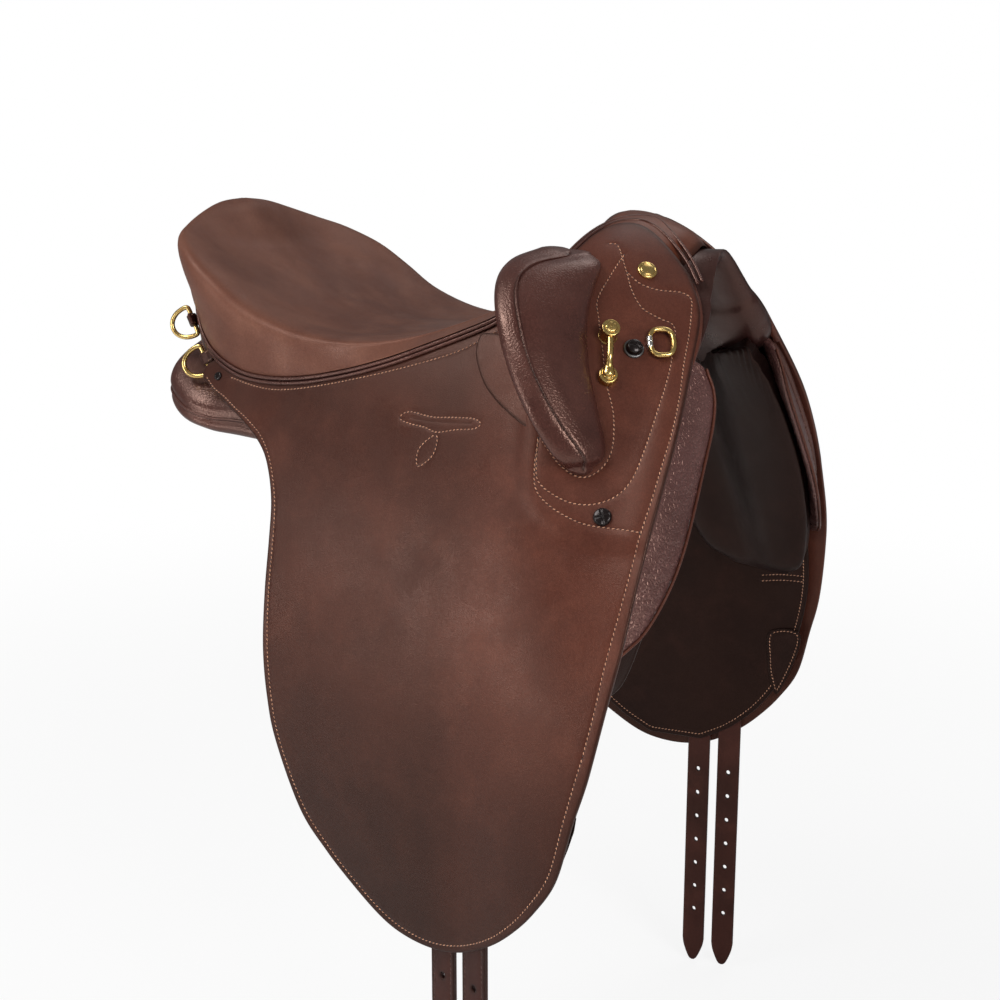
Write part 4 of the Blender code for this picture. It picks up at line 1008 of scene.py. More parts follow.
def make_head():
    rows = [(a, b, -y) for a, b, y in HEAD_ROWS] + [(a, b, y) for a, b, y in reversed(HEAD_ROWS[:-1])]
    rows = curve(rows, per=6)
    grid = []
    for rear, front, y in rows:
        xs = np.linspace(rear, front, 16)
        z = head_height(xs, np.full_like(xs, abs(y)))
        over = smooth((xs - front + HEAD_ROUND) / HEAD_ROUND)
        padding = HEAD_PADDING * (1.0 - smooth((abs(y) - HEAD_PADDED_Y) / HEAD_PADDED_RUN))
        z = z + padding - over * HEAD_ROUND_DROP
        grid.append(np.column_stack([xs, np.full_like(xs, y), z]))
    grid = np.array(grid)[::-1]
    # The head gets the lighter leather, painted light
    head = slab("head_leather", grid, HEAD_THICKNESS, lit_front_leather)
    attach(head, "saddle", "seat_leather", "head_cover")


def make_arch_pad():
    angles = around(ARCH_SIDES)
    belly = np.maximum(-np.sin(angles), 0.0) ** ARCH_BELLY_POWER
    rings = []
    for z, rear, front, plump in ARCH_ROWS:
        x = 0.5 * (rear + front) + 0.5 * (front - rear) * np.cos(angles)
        rings.append(skin(-1, x, np.full_like(x, z), ARCH_LIFT - plump * belly))
    rear, front, plump = ARCH_TOP
    x = 0.5 * (rear + front) + 0.5 * (front - rear) * np.cos(angles)
    top = np.column_stack([x, np.zeros_like(x), ARCH_TOP_Z + ARCH_LIFT - plump * belly])
    rings = rings + [top] + [mirrored(ring) for ring in reversed(rings)]
    rings = np.array(rings)
    rings = np.stack([curve(rings[:, k], per=9) for k in range(ARCH_SIDES)], axis=1)
    rings = rings + outward(rings) * (unrest(rings, ARCH_FOLD_SCALE, 2) * ARCH_FOLD)[..., None]
    pad = piece("arch_pad", *lofted(rounded_ends(rings, PAD_END_REACH)), arch_leather)
    attach(pad, "saddle", "pad_leather", "front_arch_roll", fill=0.6)
    for tag, side in SIDES:
        path = skin(side, *even(curve(FOLD_PATH), 0.002).T, FOLD_LIFT)
        fold = piece("arch_fold_" + tag, *cord(path, FOLD_RADIUS, 18), flap_leather)
        attach(fold, "saddle", "flap_leather")


def make_head_welts():
    line = even(curve(HEAD_WELT), 0.002)
    for tag, side in SIDES:
        beads = [cord(skin(side, *beside(line, out).T, lift), radius)
                 for out, lift, radius in HEAD_WELT_BEADS]
        gather("head_welts_" + tag, "saddle", "pad_leather", pad_leather, beads, "head_welt_" + tag)


# Knee pad: height, front end, rear end, how far it stands out
PAD_ROWS = (
    (-0.014, 0.221, 0.209, 0.008), (-0.004, 0.226, 0.200, 0.020), (0.022, 0.214, 0.182, 0.033),
    (0.052, 0.200, 0.163, 0.041), (0.082, 0.190, 0.146, 0.045), (0.104, 0.186, 0.134, 0.044),
    (0.117, 0.184, 0.134, 0.036), (0.124, 0.174, 0.145, 0.018))
PAD_LIFT = 0.0036
PAD_WELT_LIFT = 0.0050
PAD_WELT_X = 0.1660
PAD_WELT_SPAN = 0.0220
PAD_GUSSET = 0.0215
PAD_SEAM_SHARE = 5
PAD_PER = 9
PAD_SEAM_SINK = 0.0013
PAD_SEAM_RUN = 0.0016
PAD_SEAM_ROWS = slice(6, -3)
PAD_PUFF = 0.0012
PAD_PUFF_RUN = 0.012
PAD_SEAM_SHADE_RUN = 0.0013


def pad_control(side, row):
    """Control points round the pad at one height: three along its foot, six over its crown."""
    z, front, rear, height = row
    seam = min(rear + PAD_GUSSET, front - 0.0010)
    outline = [(front + (rear - front) * share, 0.0) for share in (0.06, 0.5, 0.94)]
    outline += [(rear - 0.0015, 0.40), (rear + 0.0035, 0.88), (seam - 0.0010, 1.02), (seam + 0.0010, 1.0),
                (0.5 * seam + 0.5 * front + 0.001, 0.80), (front + 0.0015, 0.36)]
    points = []
    for x, share in outline:
        lift = PAD_LIFT + PAD_WELT_LIFT * smooth((PAD_WELT_X - x) / PAD_WELT_SPAN)
        points.append(skin(side, x, z, lift) + np.array([0.0, side * height * share, 0.0]))
    return np.array(points)


def make_knee_pad(tag, side):
    controls = np.array([pad_control(side, row) for row in PAD_ROWS])
    rows = np.stack([curve(controls[:, k], per=7) for k in range(controls.shape[1])], axis=1)
    rings = np.array([curve(row, True, PAD_PER) for row in rows])
    rings = rounded_ends(rings, 0.005, 7)
    seam_index = PAD_SEAM_SHARE * PAD_PER
    if side > 0:
        rings = rings[:, ::-1]
        seam_index = rings.shape[1] - 1 - seam_index
    seam = rings[PAD_SEAM_ROWS, seam_index].copy()
    normals = outward(rings)
    gap = distance(rings.reshape(-1, 3), seam).reshape(rings.shape[:2])
    sink = PAD_SEAM_SINK * np.exp(-(gap / PAD_SEAM_RUN) ** 2)
    puff = PAD_PUFF * smooth((gap - 0.002) / PAD_PUFF_RUN)
    rings = rings - normals * (sink - puff)[..., None]
    # Painted shade: the leather darkens along the knee pad's sunk seam
    wear_and_seam_shade = np.exp(-(gap / PAD_SEAM_SHADE_RUN) ** 2) * 0.9
    pad = piece("knee_pad_cushion_" + tag, *lofted(rings), pad_leather, np.r_[wear_and_seam_shade.reshape(-1), 0.0, 0.0])
    attach(pad, "saddle", "pad_leather", "knee_pad_" + tag, fill=0.9)
    path = even(rings[PAD_SEAM_ROWS, seam_index], 0.001)
    normal = np.tile(normals[PAD_SEAM_ROWS, seam_index].mean(axis=0), (len(path), 1))
    stitch("knee_pad_seam_" + tag, "saddle", [(path, normal, FLAP_PITCH, FINE_THREAD, 0.0)], dark_thread)


# Roll behind the front edge of the flap: height, front end, how far it reaches inward
ROLL_ROWS = (
    (0.060, 0.269, 0.014), (0.050, 0.275, 0.028), (0.034, 0.278, 0.036), (0.010, 0.280, 0.039),
    (-0.018, 0.282, 0.040), (-0.044, 0.283, 0.039), (-0.068, 0.282, 0.036), (-0.090, 0.279, 0.030),
    (-0.108, 0.275, 0.022), (-0.119, 0.271, 0.013), (-0.127, 0.267, 0.006))
ROLL_WIDTH = 0.009
ROLL_SLANT = 0.016
ROLL_DEPTH = 0.0050
ROLL_SIDES = 72
ROLL_WRINKLE = 0.0008
ROLL_WRINKLE_SCALE = (70.0, 70.0, 330.0)
ROLL_SMOOTH_Z = 0.045
ROLL_PIPING_RADIUS = 0.0012
ROLL_STRIP_AT = (0.0165, 0.0068)
ROLL_STRIP_RADIUS = 0.0034


def make_roll(tag, side):
    rows = curve(ROLL_ROWS, per=14)
    angles = around(ROLL_SIDES)
    rings = []
    for z, front, reach in rows:
        inward = 0.5 * (1.0 - np.sin(angles))
        x = front - ROLL_WIDTH * 0.5 * (1.0 - np.cos(angles)) - ROLL_SLANT * (1.0 - inward)
        lift = -ROLL_DEPTH - reach * inward
        rings.append(skin(side, x, np.full_like(x, z), lift))
    rings = np.array(rings)
    low = smooth((ROLL_SMOOTH_Z - rows[:, 0]) / 0.05)[:, None]
    wrinkle = unrest(rings, ROLL_WRINKLE_SCALE, 3) * ROLL_WRINKLE * low
    rings = rings + outward(rings) * wrinkle[..., None]
    roll = piece("front_roll_cushion_" + tag, *lofted(rounded_ends(rings, PAD_END_REACH)), roll_leather)
    attach(roll, "saddle", "pad_leather", "front_roll_" + tag, fill=0.8)
    z, front, reach = even(curve(ROLL_ROWS), 0.003).T
    path = skin(side, front - ROLL_STRIP_AT[0], z, -ROLL_STRIP_AT[1])
    strip = piece("front_roll_strip_" + tag, *cord(path, ROLL_STRIP_RADIUS, 14), pad_leather)
    attach(strip, "saddle", "pad_leather")
    path = skin(side, front - ROLL_WIDTH * 0.25, z, -ROLL_DEPTH - reach * 0.95)
    piping = piece("front_roll_piping_" + tag, *cord(path, ROLL_PIPING_RADIUS), flap_leather)
    attach(piping, "saddle", "pad_leather")


# Long pad inside the knee: height, rear end, front end
FRONT_PAD_ROWS = (
    (0.030, 0.156, 0.262), (0.012, 0.148, 0.270), (-0.030, 0.140, 0.2745), (-0.070, 0.136, 0.2755),
    (-0.110, 0.142, 0.2720), (-0.146, 0.158, 0.2640), (-0.162, 0.180, 0.248))
FRONT_PAD_CROWN = 0.0035
FRONT_PAD_SWELL = 0.013
FRONT_PAD_SWELL_X = 0.195
FRONT_PAD_SWELL_RUN = 0.045
FRONT_PAD_SLOPE = 0.450
FRONT_PAD_SLOPE_ROWS = 31.5
FRONT_PAD_SLANT = 0.016
FRONT_PAD_SLANT_X = 0.200
FRONT_PAD_SLANT_RUN = 0.060
FRONT_PAD_SIDES = 128
GATHER_PITCH = 0.0052
GATHER_HEIGHT = 0.0009
GATHER_RUN = 0.045
GATHER_SCALE = (40.0, 10.0, 14.0)
GATHER_WOBBLE = 0.0008


def make_front_pad(tag, side):
    rows = curve(FRONT_PAD_ROWS, per=9)
    angles = around(FRONT_PAD_SIDES)
    across = squared(np.cos(angles))
    up = squared(np.sin(angles))
    half = FRONT_PAD_THICKNESS * 0.5
    rings = []
    for i, (z, rear, front) in enumerate(rows):
        share = max(0.0, 1.0 - i / FRONT_PAD_SLOPE_ROWS)
        plump = math.sin(math.pi * (i + 3.0) / (len(rows) + 5.0)) ** 0.35
        x = 0.5 * (rear + front) + 0.5 * (front - rear) * across
        crown = np.where(np.sin(angles) < 0, FRONT_PAD_CROWN * (1.0 - across ** 2)
                         + FRONT_PAD_SWELL * smooth((x - FRONT_PAD_SWELL_X) / FRONT_PAD_SWELL_RUN), 0.0)
        lift = -FRONT_PAD_DEPTH - half + plump * half * up - crown * plump
        x = x - FRONT_PAD_SLANT * smooth((x - FRONT_PAD_SLANT_X) / FRONT_PAD_SLANT_RUN) * (0.5 + 0.5 * up)
        rings.append(skin(side, x, z + FRONT_PAD_SLOPE * share * (x - rear), lift))
    rings = np.array(rings)
    fall = np.exp(-(np.maximum(rings[0, :, 2].max() - rings[..., 2], 0.0) / GATHER_RUN) ** 2)
    wobble = unrest(rings, GATHER_SCALE)
    ripples = np.sin(rings[..., 0] * 2.0 * math.pi / GATHER_PITCH + wobble * 5.0)
    height = ripples * fall * GATHER_HEIGHT + wobble * GATHER_WOBBLE
    rings = rings + outward(rings) * height[..., None]
    pad = piece("front_pad_cushion_" + tag, *lofted(rounded_ends(rings, PAD_END_REACH)), inner_leather)
    attach(pad, "saddle", "pad_leather", "front_pad_" + tag, fill=0.7)


# Panels: station, then inner bottom, outer bottom, outer top and inner top corner (half width, height)
PANEL_STATIONS = (
    (-0.211, (0.058, 0.014), (0.104, 0.002), (0.106, 0.026), (0.060, 0.048)),
    (-0.203, (0.042, 0.004), (0.122, -0.014), (0.124, 0.024), (0.046, 0.058)),
    (-0.178, (0.036, 0.001), (0.138, -0.025), (0.134, 0.012), (0.044, 0.060)),
    (-0.150, (0.034, 0.000), (0.143, -0.031), (0.134, 0.006), (0.044, 0.0424)),
    (-0.120, (0.034, -0.001), (0.144, -0.033), (0.133, 0.008), (0.046, 0.0300)),
    (-0.060, (0.034, -0.001), (0.146, -0.037), (0.134, 0.007), (0.050, 0.0288)),
    (0.000, (0.034, 0.000), (0.142, -0.036), (0.134, 0.009), (0.052, 0.0357)),
    (0.070, (0.036, 0.005), (0.134, -0.030), (0.131, 0.013), (0.056, 0.0586)),
    (0.120, (0.042, 0.020), (0.124, -0.010), (0.126, 0.020), (0.060, 0.0640)),
    (0.160, (0.052, 0.038), (0.112, 0.022), (0.114, 0.038), (0.060, 0.0680)))
PANEL_SIDES = 72
PANEL_SEAM_SINK = 0.0014
PANEL_SCALE = 26.0
PANEL_UNREST = 0.0010
PANEL_PIPING_LIFT = 0.0004
PANEL_PIPING_RADIUS = 0.0013


def make_panel(tag, side):
    flat = [(x, *a, *b, *c, *d) for x, a, b, c, d in PANEL_STATIONS]
    rows = curve(flat, per=7)
    angles = around(PANEL_SIDES)
    u = (0.5 + 0.5 * squared(np.cos(angles)))[:, None]
    v = (0.5 + 0.5 * squared(np.sin(angles)))[:, None]
    rings = []
    for row in rows:
        inner_low, outer_low, outer_high, inner_high = row[1:].reshape(4, 2)
        low = inner_low * (1.0 - u) + outer_low * u
        high = inner_high * (1.0 - u) + outer_high * u
        place = low * (1.0 - v) + high * v
        rings.append(np.column_stack([np.full(PANEL_SIDES, row[0]), side * place[:, 0], place[:, 1]]))
    rings = np.array(rings)
    normals = outward(rings)
    steps = np.arange(PANEL_SIDES)
    seam = np.exp(-(np.minimum(steps, PANEL_SIDES - steps) / 1.1) ** 2)
    height = unrest(rings, PANEL_SCALE) * PANEL_UNREST - seam * PANEL_SEAM_SINK
    rings = rings + normals * height[..., None]
    panel = piece("panel_cushion_" + tag, *lofted(rounded_ends(rings, 0.006)), pad_leather)
    attach(panel, "saddle", "pad_leather", "panel_" + tag, fill=0.8)
    path = rings[:, 0] + normals[:, 0] * PANEL_PIPING_LIFT
    piping = piece("panel_piping_" + tag, *cord(path, PANEL_PIPING_RADIUS, 8), pad_leather)
    attach(piping, "saddle", "pad_leather")


# Tongue of leather that closes the front of the stirrup bar slot: height, rear end, front end
TONGUE_ROWS = (
    (0.0100, 0.172, 0.181), (0.0180, 0.157, 0.179), (0.0270, 0.141, 0.174), (0.0380, 0.127, 0.170),
    (0.0560, 0.114, 0.163), (0.0700, 0.113, 0.159))
TONGUE_LIFT = 0.0026
TONGUE_THICKNESS = 0.0020

# Sweat flap under the girth straps: height, rear end, front end
SWEAT_ROWS = (
    (-0.020, -0.005, 0.2590), (-0.060, -0.018, 0.2590), (-0.100, -0.020, 0.2566), (-0.140, -0.019, 0.2548),
    (-0.190, -0.013, 0.2520), (-0.235, -0.001, 0.2430), (-0.280, 0.015, 0.2290), (-0.315, 0.036, 0.2080),
    (-0.342, 0.066, 0.1800), (-0.360, 0.098, 0.1500))
SWEAT_SEAM = 0.0045
PATCH = ((0.214, -0.239), (0.2455, -0.240), (0.224, -0.302), (0.215, -0.290), (0.212, -0.268))
PATCH_THICKNESS = 0.0014
PATCH_SEAM = 0.0028
POCKET_LINES = (((0.205, -0.182), (0.228, -0.178), (0.2500, -0.1765)),
                ((0.205, -0.188), (0.228, -0.184), (0.2495, -0.1825)))


def rows_outline(rows, step):
    """Loop through the rear ends of some rows and back along their front ends."""
    rear = curve([(row[1], row[0]) for row in rows], per=8)
    front = curve([(row[2], row[0]) for row in rows], per=8)
    return even(np.vstack([rear, front[::-1]]), step, True)


def opened(loop):
    """The points of a loop, starting after its widest gap."""
    gaps = np.linalg.norm(np.diff(looped(loop), axis=0), axis=1)
    return np.roll(loop, -int(np.argmax(gaps)) - 1, axis=0)


def make_tongue(tag, side):
    tongue = leather_cut("tongue_leather_" + tag, partial(skin, side), rows_outline(TONGUE_ROWS, 0.002),
                         TONGUE_LIFT, TONGUE_THICKNESS, flap_leather, spacing=0.004)
    attach(tongue, "saddle", "flap_leather", "bar_cover_" + tag)


def make_sweat_flap(tag, side):
    outline = rows_outline(SWEAT_ROWS, RIM_STEP)
    base = SWEAT_DEPTH + SWEAT_THICKNESS

    def place(x, z, height):
        return skin(side, x, z, -base - height)

    rim = inset(outline, SWEAT_SEAM)
    rim = rim[rim[:, 1] < -0.045]
    rim = even(opened(rim), 0.003)
    pockets = [even(curve(line), 0.003) for line in POCKET_LINES]
    sweat = leather_cut("sweat_leather_" + tag, place, outline, 0.0, SWEAT_THICKNESS, lining_leather,
                        [rim] + pockets, spacing=0.007)
    attach(sweat, "saddle", "strap_leather", "sweat_flap_" + tag)
    patch_outline = even(curve(PATCH, True, 5), 0.0025, True)
    patch_line = looped(inset(patch_outline, PATCH_SEAM))
    patch = leather_cut("sweat_patch_" + tag, place, patch_outline, PATCH_THICKNESS, PATCH_THICKNESS - 0.0003,
                        inner_leather, [patch_line], spacing=0.004, edge=0.0006)
    attach(patch, "saddle", "strap_leather")
    seams = []
    for line in [rim] + pockets + [patch_line]:
        height = PATCH_THICKNESS if line is patch_line else 0.0
        x, z = even(line, SEW_STEP).T
        seams.append((place(x, z, np.full(len(x), height - SEAM_SINK)), -skin_normal(side, x, z), FLAP_PITCH))
    stitch("sweat_stitches_" + tag, "saddle", seams, thread)


# Girth straps hang under the flap: middle of each strap at its top, then straight down below the turn
STRAP_X = {"right": (0.134, 0.163), "left": (0.147, 0.176)}
STRAP_WIDTH = 0.0212
STRAP_TOP_Z = -0.060
STRAP_TURN_Z = -0.370
STRAP_END_Z = -0.604
STRAP_POINT = 0.024
STRAP_HOLES = 7
STRAP_HOLE_PITCH = 0.0254
STRAP_FIRST_HOLE_Z = -0.394
STRAP_HOLE_SIZE = (0.0018, 0.0025)
STRAP_SEAM = 0.0028
STRAP_PITCH = 0.0040


def make_strap(tag, side, index):
    middle = STRAP_X[tag][index]
    half = STRAP_WIDTH * 0.5
    key = ("rear", "front")[index] + "_" + tag
    body = "girth_strap_" + key
    tip = [(half, STRAP_END_Z + STRAP_POINT), (half * 0.86, STRAP_END_Z + STRAP_POINT * 0.66),
           (half * 0.48, STRAP_END_Z + STRAP_POINT * 0.22), (half * 0.20, STRAP_END_Z + 0.0012)]
    tip = curve(tip + [(-x, z) for x, z in reversed(tip)], per=6)
    outline = np.vstack([[(half, STRAP_TOP_Z)], tip, [(-half, STRAP_TOP_Z)]]) + np.array([middle, 0.0])
    outline = even(outline, 0.0025, True)
    angles = around(14)
    oval = np.column_stack([np.cos(angles) * STRAP_HOLE_SIZE[0], np.sin(angles) * STRAP_HOLE_SIZE[1]])
    holes = [oval + np.array([middle, STRAP_FIRST_HOLE_Z - k * STRAP_HOLE_PITCH]) for k in range(STRAP_HOLES)]

    def place(x, z, height):
        bent = np.maximum(z, STRAP_TURN_Z)
        result = skin(side, x, bent, height)
        result[:, 2] += z - bent
        return result

    seam = inset(outline, STRAP_SEAM)
    top = int(np.argmax(seam[:, 1]))
    seam = np.roll(seam, -top, axis=0)
    if abs(seam[-1, 1] - seam[0, 1]) < 1e-4 and abs(seam[1, 1] - seam[0, 1]) < 1e-4:
        seam = np.roll(seam, -1, axis=0)
    seam = seam[seam[:, 1] < STRAP_TOP_Z - 0.004]
    seam = even(opened(seam), 0.003)
    strap = leather_cut("strap_leather_" + key, place, outline, -STRAP_DEPTH, STRAP_THICKNESS,
                        strap_leather, [seam], holes, spacing=0.005, edge=0.0010)
    attach(strap, body, "strap_leather", body)
    x, z = even(seam, SEW_STEP).T
    path = place(x, z, np.full(len(x), -STRAP_DEPTH - SEAM_SINK))
    normals = skin_normal(side, x, np.maximum(z, STRAP_TURN_Z))
    stitch("strap_stitches_" + key, body, [(path, normals, STRAP_PITCH, FINE_THREAD)], dark_thread)


# Rear dees and their chapes, left side: middle of the bar, way of the bar, of the loop and of the chape
DEES = (
    ("low", (-0.164, 0.1210, 0.0335), (-0.45, -0.02, 0.89), (-0.75, 0.35, -0.36), (0.85, 0.26, -0.15)),
    ("high", (-0.1885, 0.1070, 0.0635), (-0.40, 0.05, 0.92), (-0.85, 0.30, -0.43), (0.60, 0.76, -0.10)))
DEE_WIRE = 0.0020
DEE_BAR = 0.0250
DEE_DEPTH = 0.0200
DEE_CORNER = 0.0035
DEE_PLAY = 0.0003
DEE_TURN = 0.12
DEE_ROUNDNESS = 0.85
CHAPE_WIDTH = 0.0100
CHAPE_THICKNESS = 0.0016
CHAPE_TAIL = 0.0120
CHAPE_PITCH = 0.0024
CHAPE_SEAM_SHARE = 0.36

# Half of a chape's width: share of it, and how far the edge is drawn in there
CHAPE_EDGES = ((-1.0, 0.0007), (-0.95, 0.0003), (-0.84, 0.0), (-0.4, -0.00006), (0.0, 0.0))

# Ends of a chape's seam: way along the tail, and height in thicknesses of the leather
CHAPE_SEAM = ((0.0035, 1.5), (0.0110, 0.92))


def make_dee(tag, side, data):
    centre, bar, loop, tail = [np.array(v) * np.array([1.0, side, 1.0]) for v in data[1:]]
    bar = unit(bar)
    loop = unit(loop - bar * (loop @ bar))
    tail = unit(tail - bar * (tail @ bar))
    key = data[0] + "_" + tag
    half = DEE_BAR * 0.5
    rise = DEE_CORNER * 0.5
    flat = [(-half + DEE_CORNER, 0.0), (0.0, 0.0), (half - DEE_CORNER, 0.0), (half - 0.0006, 0.0009)]
    flat += [(half * math.cos(a), rise + (DEE_DEPTH - rise) * math.sin(a) ** DEE_ROUNDNESS)
             for a in np.linspace(DEE_TURN, math.pi - DEE_TURN, 11)]
    flat.append((-half + 0.0006, 0.0009))
    flat = even(curve(flat, True, 8), 0.0012, True)
    path = centre + flat[:, :1] * bar + flat[:, 1:] * loop
    up = np.tile(np.cross(bar, loop), (len(path), 1))
    dee = piece("dee_ring_" + key, *cord(path, DEE_WIRE, 16, True, up), brass)
    attach(dee, "rear_dee_" + key, "brass", "rear_dee_" + key)
    normal = np.cross(bar, tail)
    bend = DEE_WIRE + DEE_PLAY + CHAPE_THICKNESS
    outer = [(CHAPE_TAIL, CHAPE_THICKNESS * 0.7), (CHAPE_TAIL * 0.62, CHAPE_THICKNESS * 1.05), (0.0022, bend)]
    outer += [(bend * math.cos(a), bend * math.sin(a)) for a in np.linspace(0.5 * math.pi, 1.5 * math.pi, 9)]
    outer += [(x, -y) for x, y in reversed(outer[:3])]
    outer = even(curve(outer, True, 5), 0.0009, True)
    out = unit(outer - outer.mean(axis=0))
    rings = []
    for share, inset_by in CHAPE_EDGES + tuple((-share, by) for share, by in reversed(CHAPE_EDGES[:-1])):
        ring = outer - out * inset_by
        rings.append(centre + ring[:, :1] * tail + ring[:, 1:] * normal + bar * (share * CHAPE_WIDTH * 0.5))
    chape = piece("chape_leather_" + key, *lofted(rings), strap_leather)
    attach(chape, "saddle", "flap_leather", "dee_chape_" + key)
    seams = []
    for sign in (-1.0, 1.0):
        for edge in (-1.0, 1.0):
            path = [centre + tail * at + normal * sign * (CHAPE_THICKNESS * height)
                    + bar * edge * CHAPE_WIDTH * CHAPE_SEAM_SHARE for at, height in CHAPE_SEAM]
            seams.append((np.array(path), np.array([normal * sign] * 2), CHAPE_PITCH, FINE_THREAD))
    stitch("chape_stitches_" + key, "saddle", seams, thread)


# Metal fittings; their places are (x, z) on the side leathers
STUD_LIFT = 0.0033
BUTTON_AT = (0.211, 0.1130)
BUTTON_RADIUS = 0.0075
STAPLE_TOP_AT = (0.2050, 0.0700)
STAPLE_LOW_AT = (0.2135, 0.0430)
STAPLE_BOSS_RADIUS = 0.0066
STAPLE_EYE_RADIUS = 0.0072
STAPLE_HEIGHT = 0.0130
STAPLE_EYE_HEIGHT = 0.0050
STAPLE_ROD_RADIUS = 0.0024
STAPLE_SCREW_RADIUS = 0.0042
POST_AT = (0.2225, 0.0610)
POST_RADIUS = 0.0060
RING_AT = (0.2380, 0.0635)
RING_LIFT = 0.0062
RING_HALF_WIDTH = 0.0085
RING_HALF_HEIGHT = 0.0110
RING_WIRE = 0.0020
RING_ROUNDNESS = 0.85
BAND_OFFSET = 0.0021
BAND_HALF_LENGTH = 0.0015
LOW_SCREW_AT = (0.2370, -0.0450)
LOW_SCREW_RADIUS = 0.0064
LOW_SCREW_LIFT = 0.0030
TAIL_SCREW_AT = (-0.1365, 0.0225)
TAIL_SCREW_RADIUS = 0.0036
TAIL_SCREW_LIFT = 0.0004
SLOT_DEPTH = 0.0006
SLOT_REACH = 0.0016

# Turned profiles: share of the radius, height
BUTTON_PROFILE = (
    (0.96, -0.0008), (1.0, 0.0), (1.0, 0.0010), (0.93, 0.0018), (0.80, 0.0021), (0.76, 0.0017),
    (0.71, 0.0017), (0.66, 0.0023), (0.40, 0.0028), (0.16, 0.0030), (0.02, 0.0030))
BOSS_PROFILE = (
    (1.06, -0.0008), (1.06, 0.0006), (0.97, 0.0014), (0.95, 0.0080), (1.0, 0.0105), (0.98, 0.0124),
    (0.86, STAPLE_HEIGHT), (0.03, STAPLE_HEIGHT))
EYE_PROFILE = (
    (0.98, -0.0008), (1.0, 0.0004), (0.97, 0.0030), (0.86, STAPLE_EYE_HEIGHT), (0.5, STAPLE_EYE_HEIGHT),
    (0.03, STAPLE_EYE_HEIGHT))
FERRULE_PROFILE = ((1.24, -0.0004), (1.26, 0.0006), (1.16, 0.0014), (0.99, 0.0014), (0.98, 0.0002))


def frame_of(normal):
    across = unit(np.cross((0.0, 0.0, 1.0), normal))
    return across, np.cross(normal, across)


def turned(centre, normal, profile, sides=48, slots=(), slot_half=0.0):
    """A turned shape: profile holds (radius, height) from the foot to the crown; slots are their angles."""
    across, up = frame_of(normal)
    radii = even(curve(profile, per=5), 0.00035)
    angles = around(sides)
    rings = []
    for radius, height in radii:
        flat = np.column_stack([np.cos(angles), np.sin(angles)]) * radius
        level = np.full(sides, height)
        for angle in slots:
            off = np.abs(-math.sin(angle) * flat[:, 0] + math.cos(angle) * flat[:, 1])
            if height > profile[-1][1] - SLOT_REACH:
                level = level - SLOT_DEPTH * (1.0 - smooth((off - slot_half * 0.7) / (slot_half * 0.6)))
        rings.append(centre + flat[:, :1] * across + flat[:, 1:] * up + level[:, None] * normal)
    return lofted(rings)


def dome(radius, height, foot=0.0006, crown=0.55):
    """Profile of a domed head: an upright rim, then a round crown."""
    rise = height - foot
    points = [(radius * 0.97, -0.0008), (radius, 0.0), (radius, foot)]
    points += [(radius * math.cos(a), foot + rise * math.sin(a) ** crown) for a in (0.45, 0.8, 1.15, 1.38)]
    return points + [(radius * 0.04, height)]


def scaled(profile, radius):
    return [(radius * share, height) for share, height in profile]


def crossed(angle):
    return (angle, angle + math.pi / 2)


def at_skin(side, place, lift):
    """Point and normal where a fitting sits on the side leathers."""
    return skin(side, *place, lift), skin_normal(side, *np.array(place))


def make_button(tag, side):
    head = turned(*at_skin(side, BUTTON_AT, STUD_LIFT), scaled(BUTTON_PROFILE, BUTTON_RADIUS))
    gather("brass_button_" + tag, "saddle", "brass", brass, [head], "button_" + tag)


def make_staple(tag, side):
    top, top_normal = at_skin(side, STAPLE_TOP_AT, STUD_LIFT)
    low, low_normal = at_skin(side, STAPLE_LOW_AT, STUD_LIFT)
    boss = turned(top, top_normal, scaled(BOSS_PROFILE, STAPLE_BOSS_RADIUS))
    eye = turned(low, low_normal, scaled(EYE_PROFILE, STAPLE_EYE_RADIUS))
    way = unit(top - low)
    start = top + top_normal * (STAPLE_HEIGHT - 0.0036) - way * STAPLE_BOSS_RADIUS * 0.6
    path = curve([start + way * 0.003, start, 0.55 * start + 0.45 * (low + low_normal * 0.0100),
                  low + low_normal * 0.0088 + way * STAPLE_EYE_RADIUS * 1.45,
                  low + low_normal * 0.0052 + way * STAPLE_EYE_RADIUS * 0.75,
                  low + low_normal * 0.0036], per=8)
    run = np.linspace(0.0, 1.0, len(path))
    size = STAPLE_ROD_RADIUS * (1.0 + 0.35 * smooth((0.2 - run) / 0.2) + 1.1 * smooth((run - 0.62) / 0.38))
    rod = cord(path, size, 16)
    gather("brass_staple_" + tag, "saddle", "brass", brass, [boss, eye, rod], "staple_" + tag)
    profile = dome(STAPLE_SCREW_RADIUS, 0.0014, 0.0003)
    for label, centre, normal, height, slots in (
            ("top", top, top_normal, STAPLE_HEIGHT, (0.9,)),
            ("low", low, low_normal, STAPLE_EYE_HEIGHT, crossed(0.4))):
        head = turned(centre + normal * height, normal, profile, 56, slots, 0.0006)
        key = label + "_" + tag
        gather("brass_screw_" + key, "saddle", "brass", brass, [head], "staple_screw_" + key)


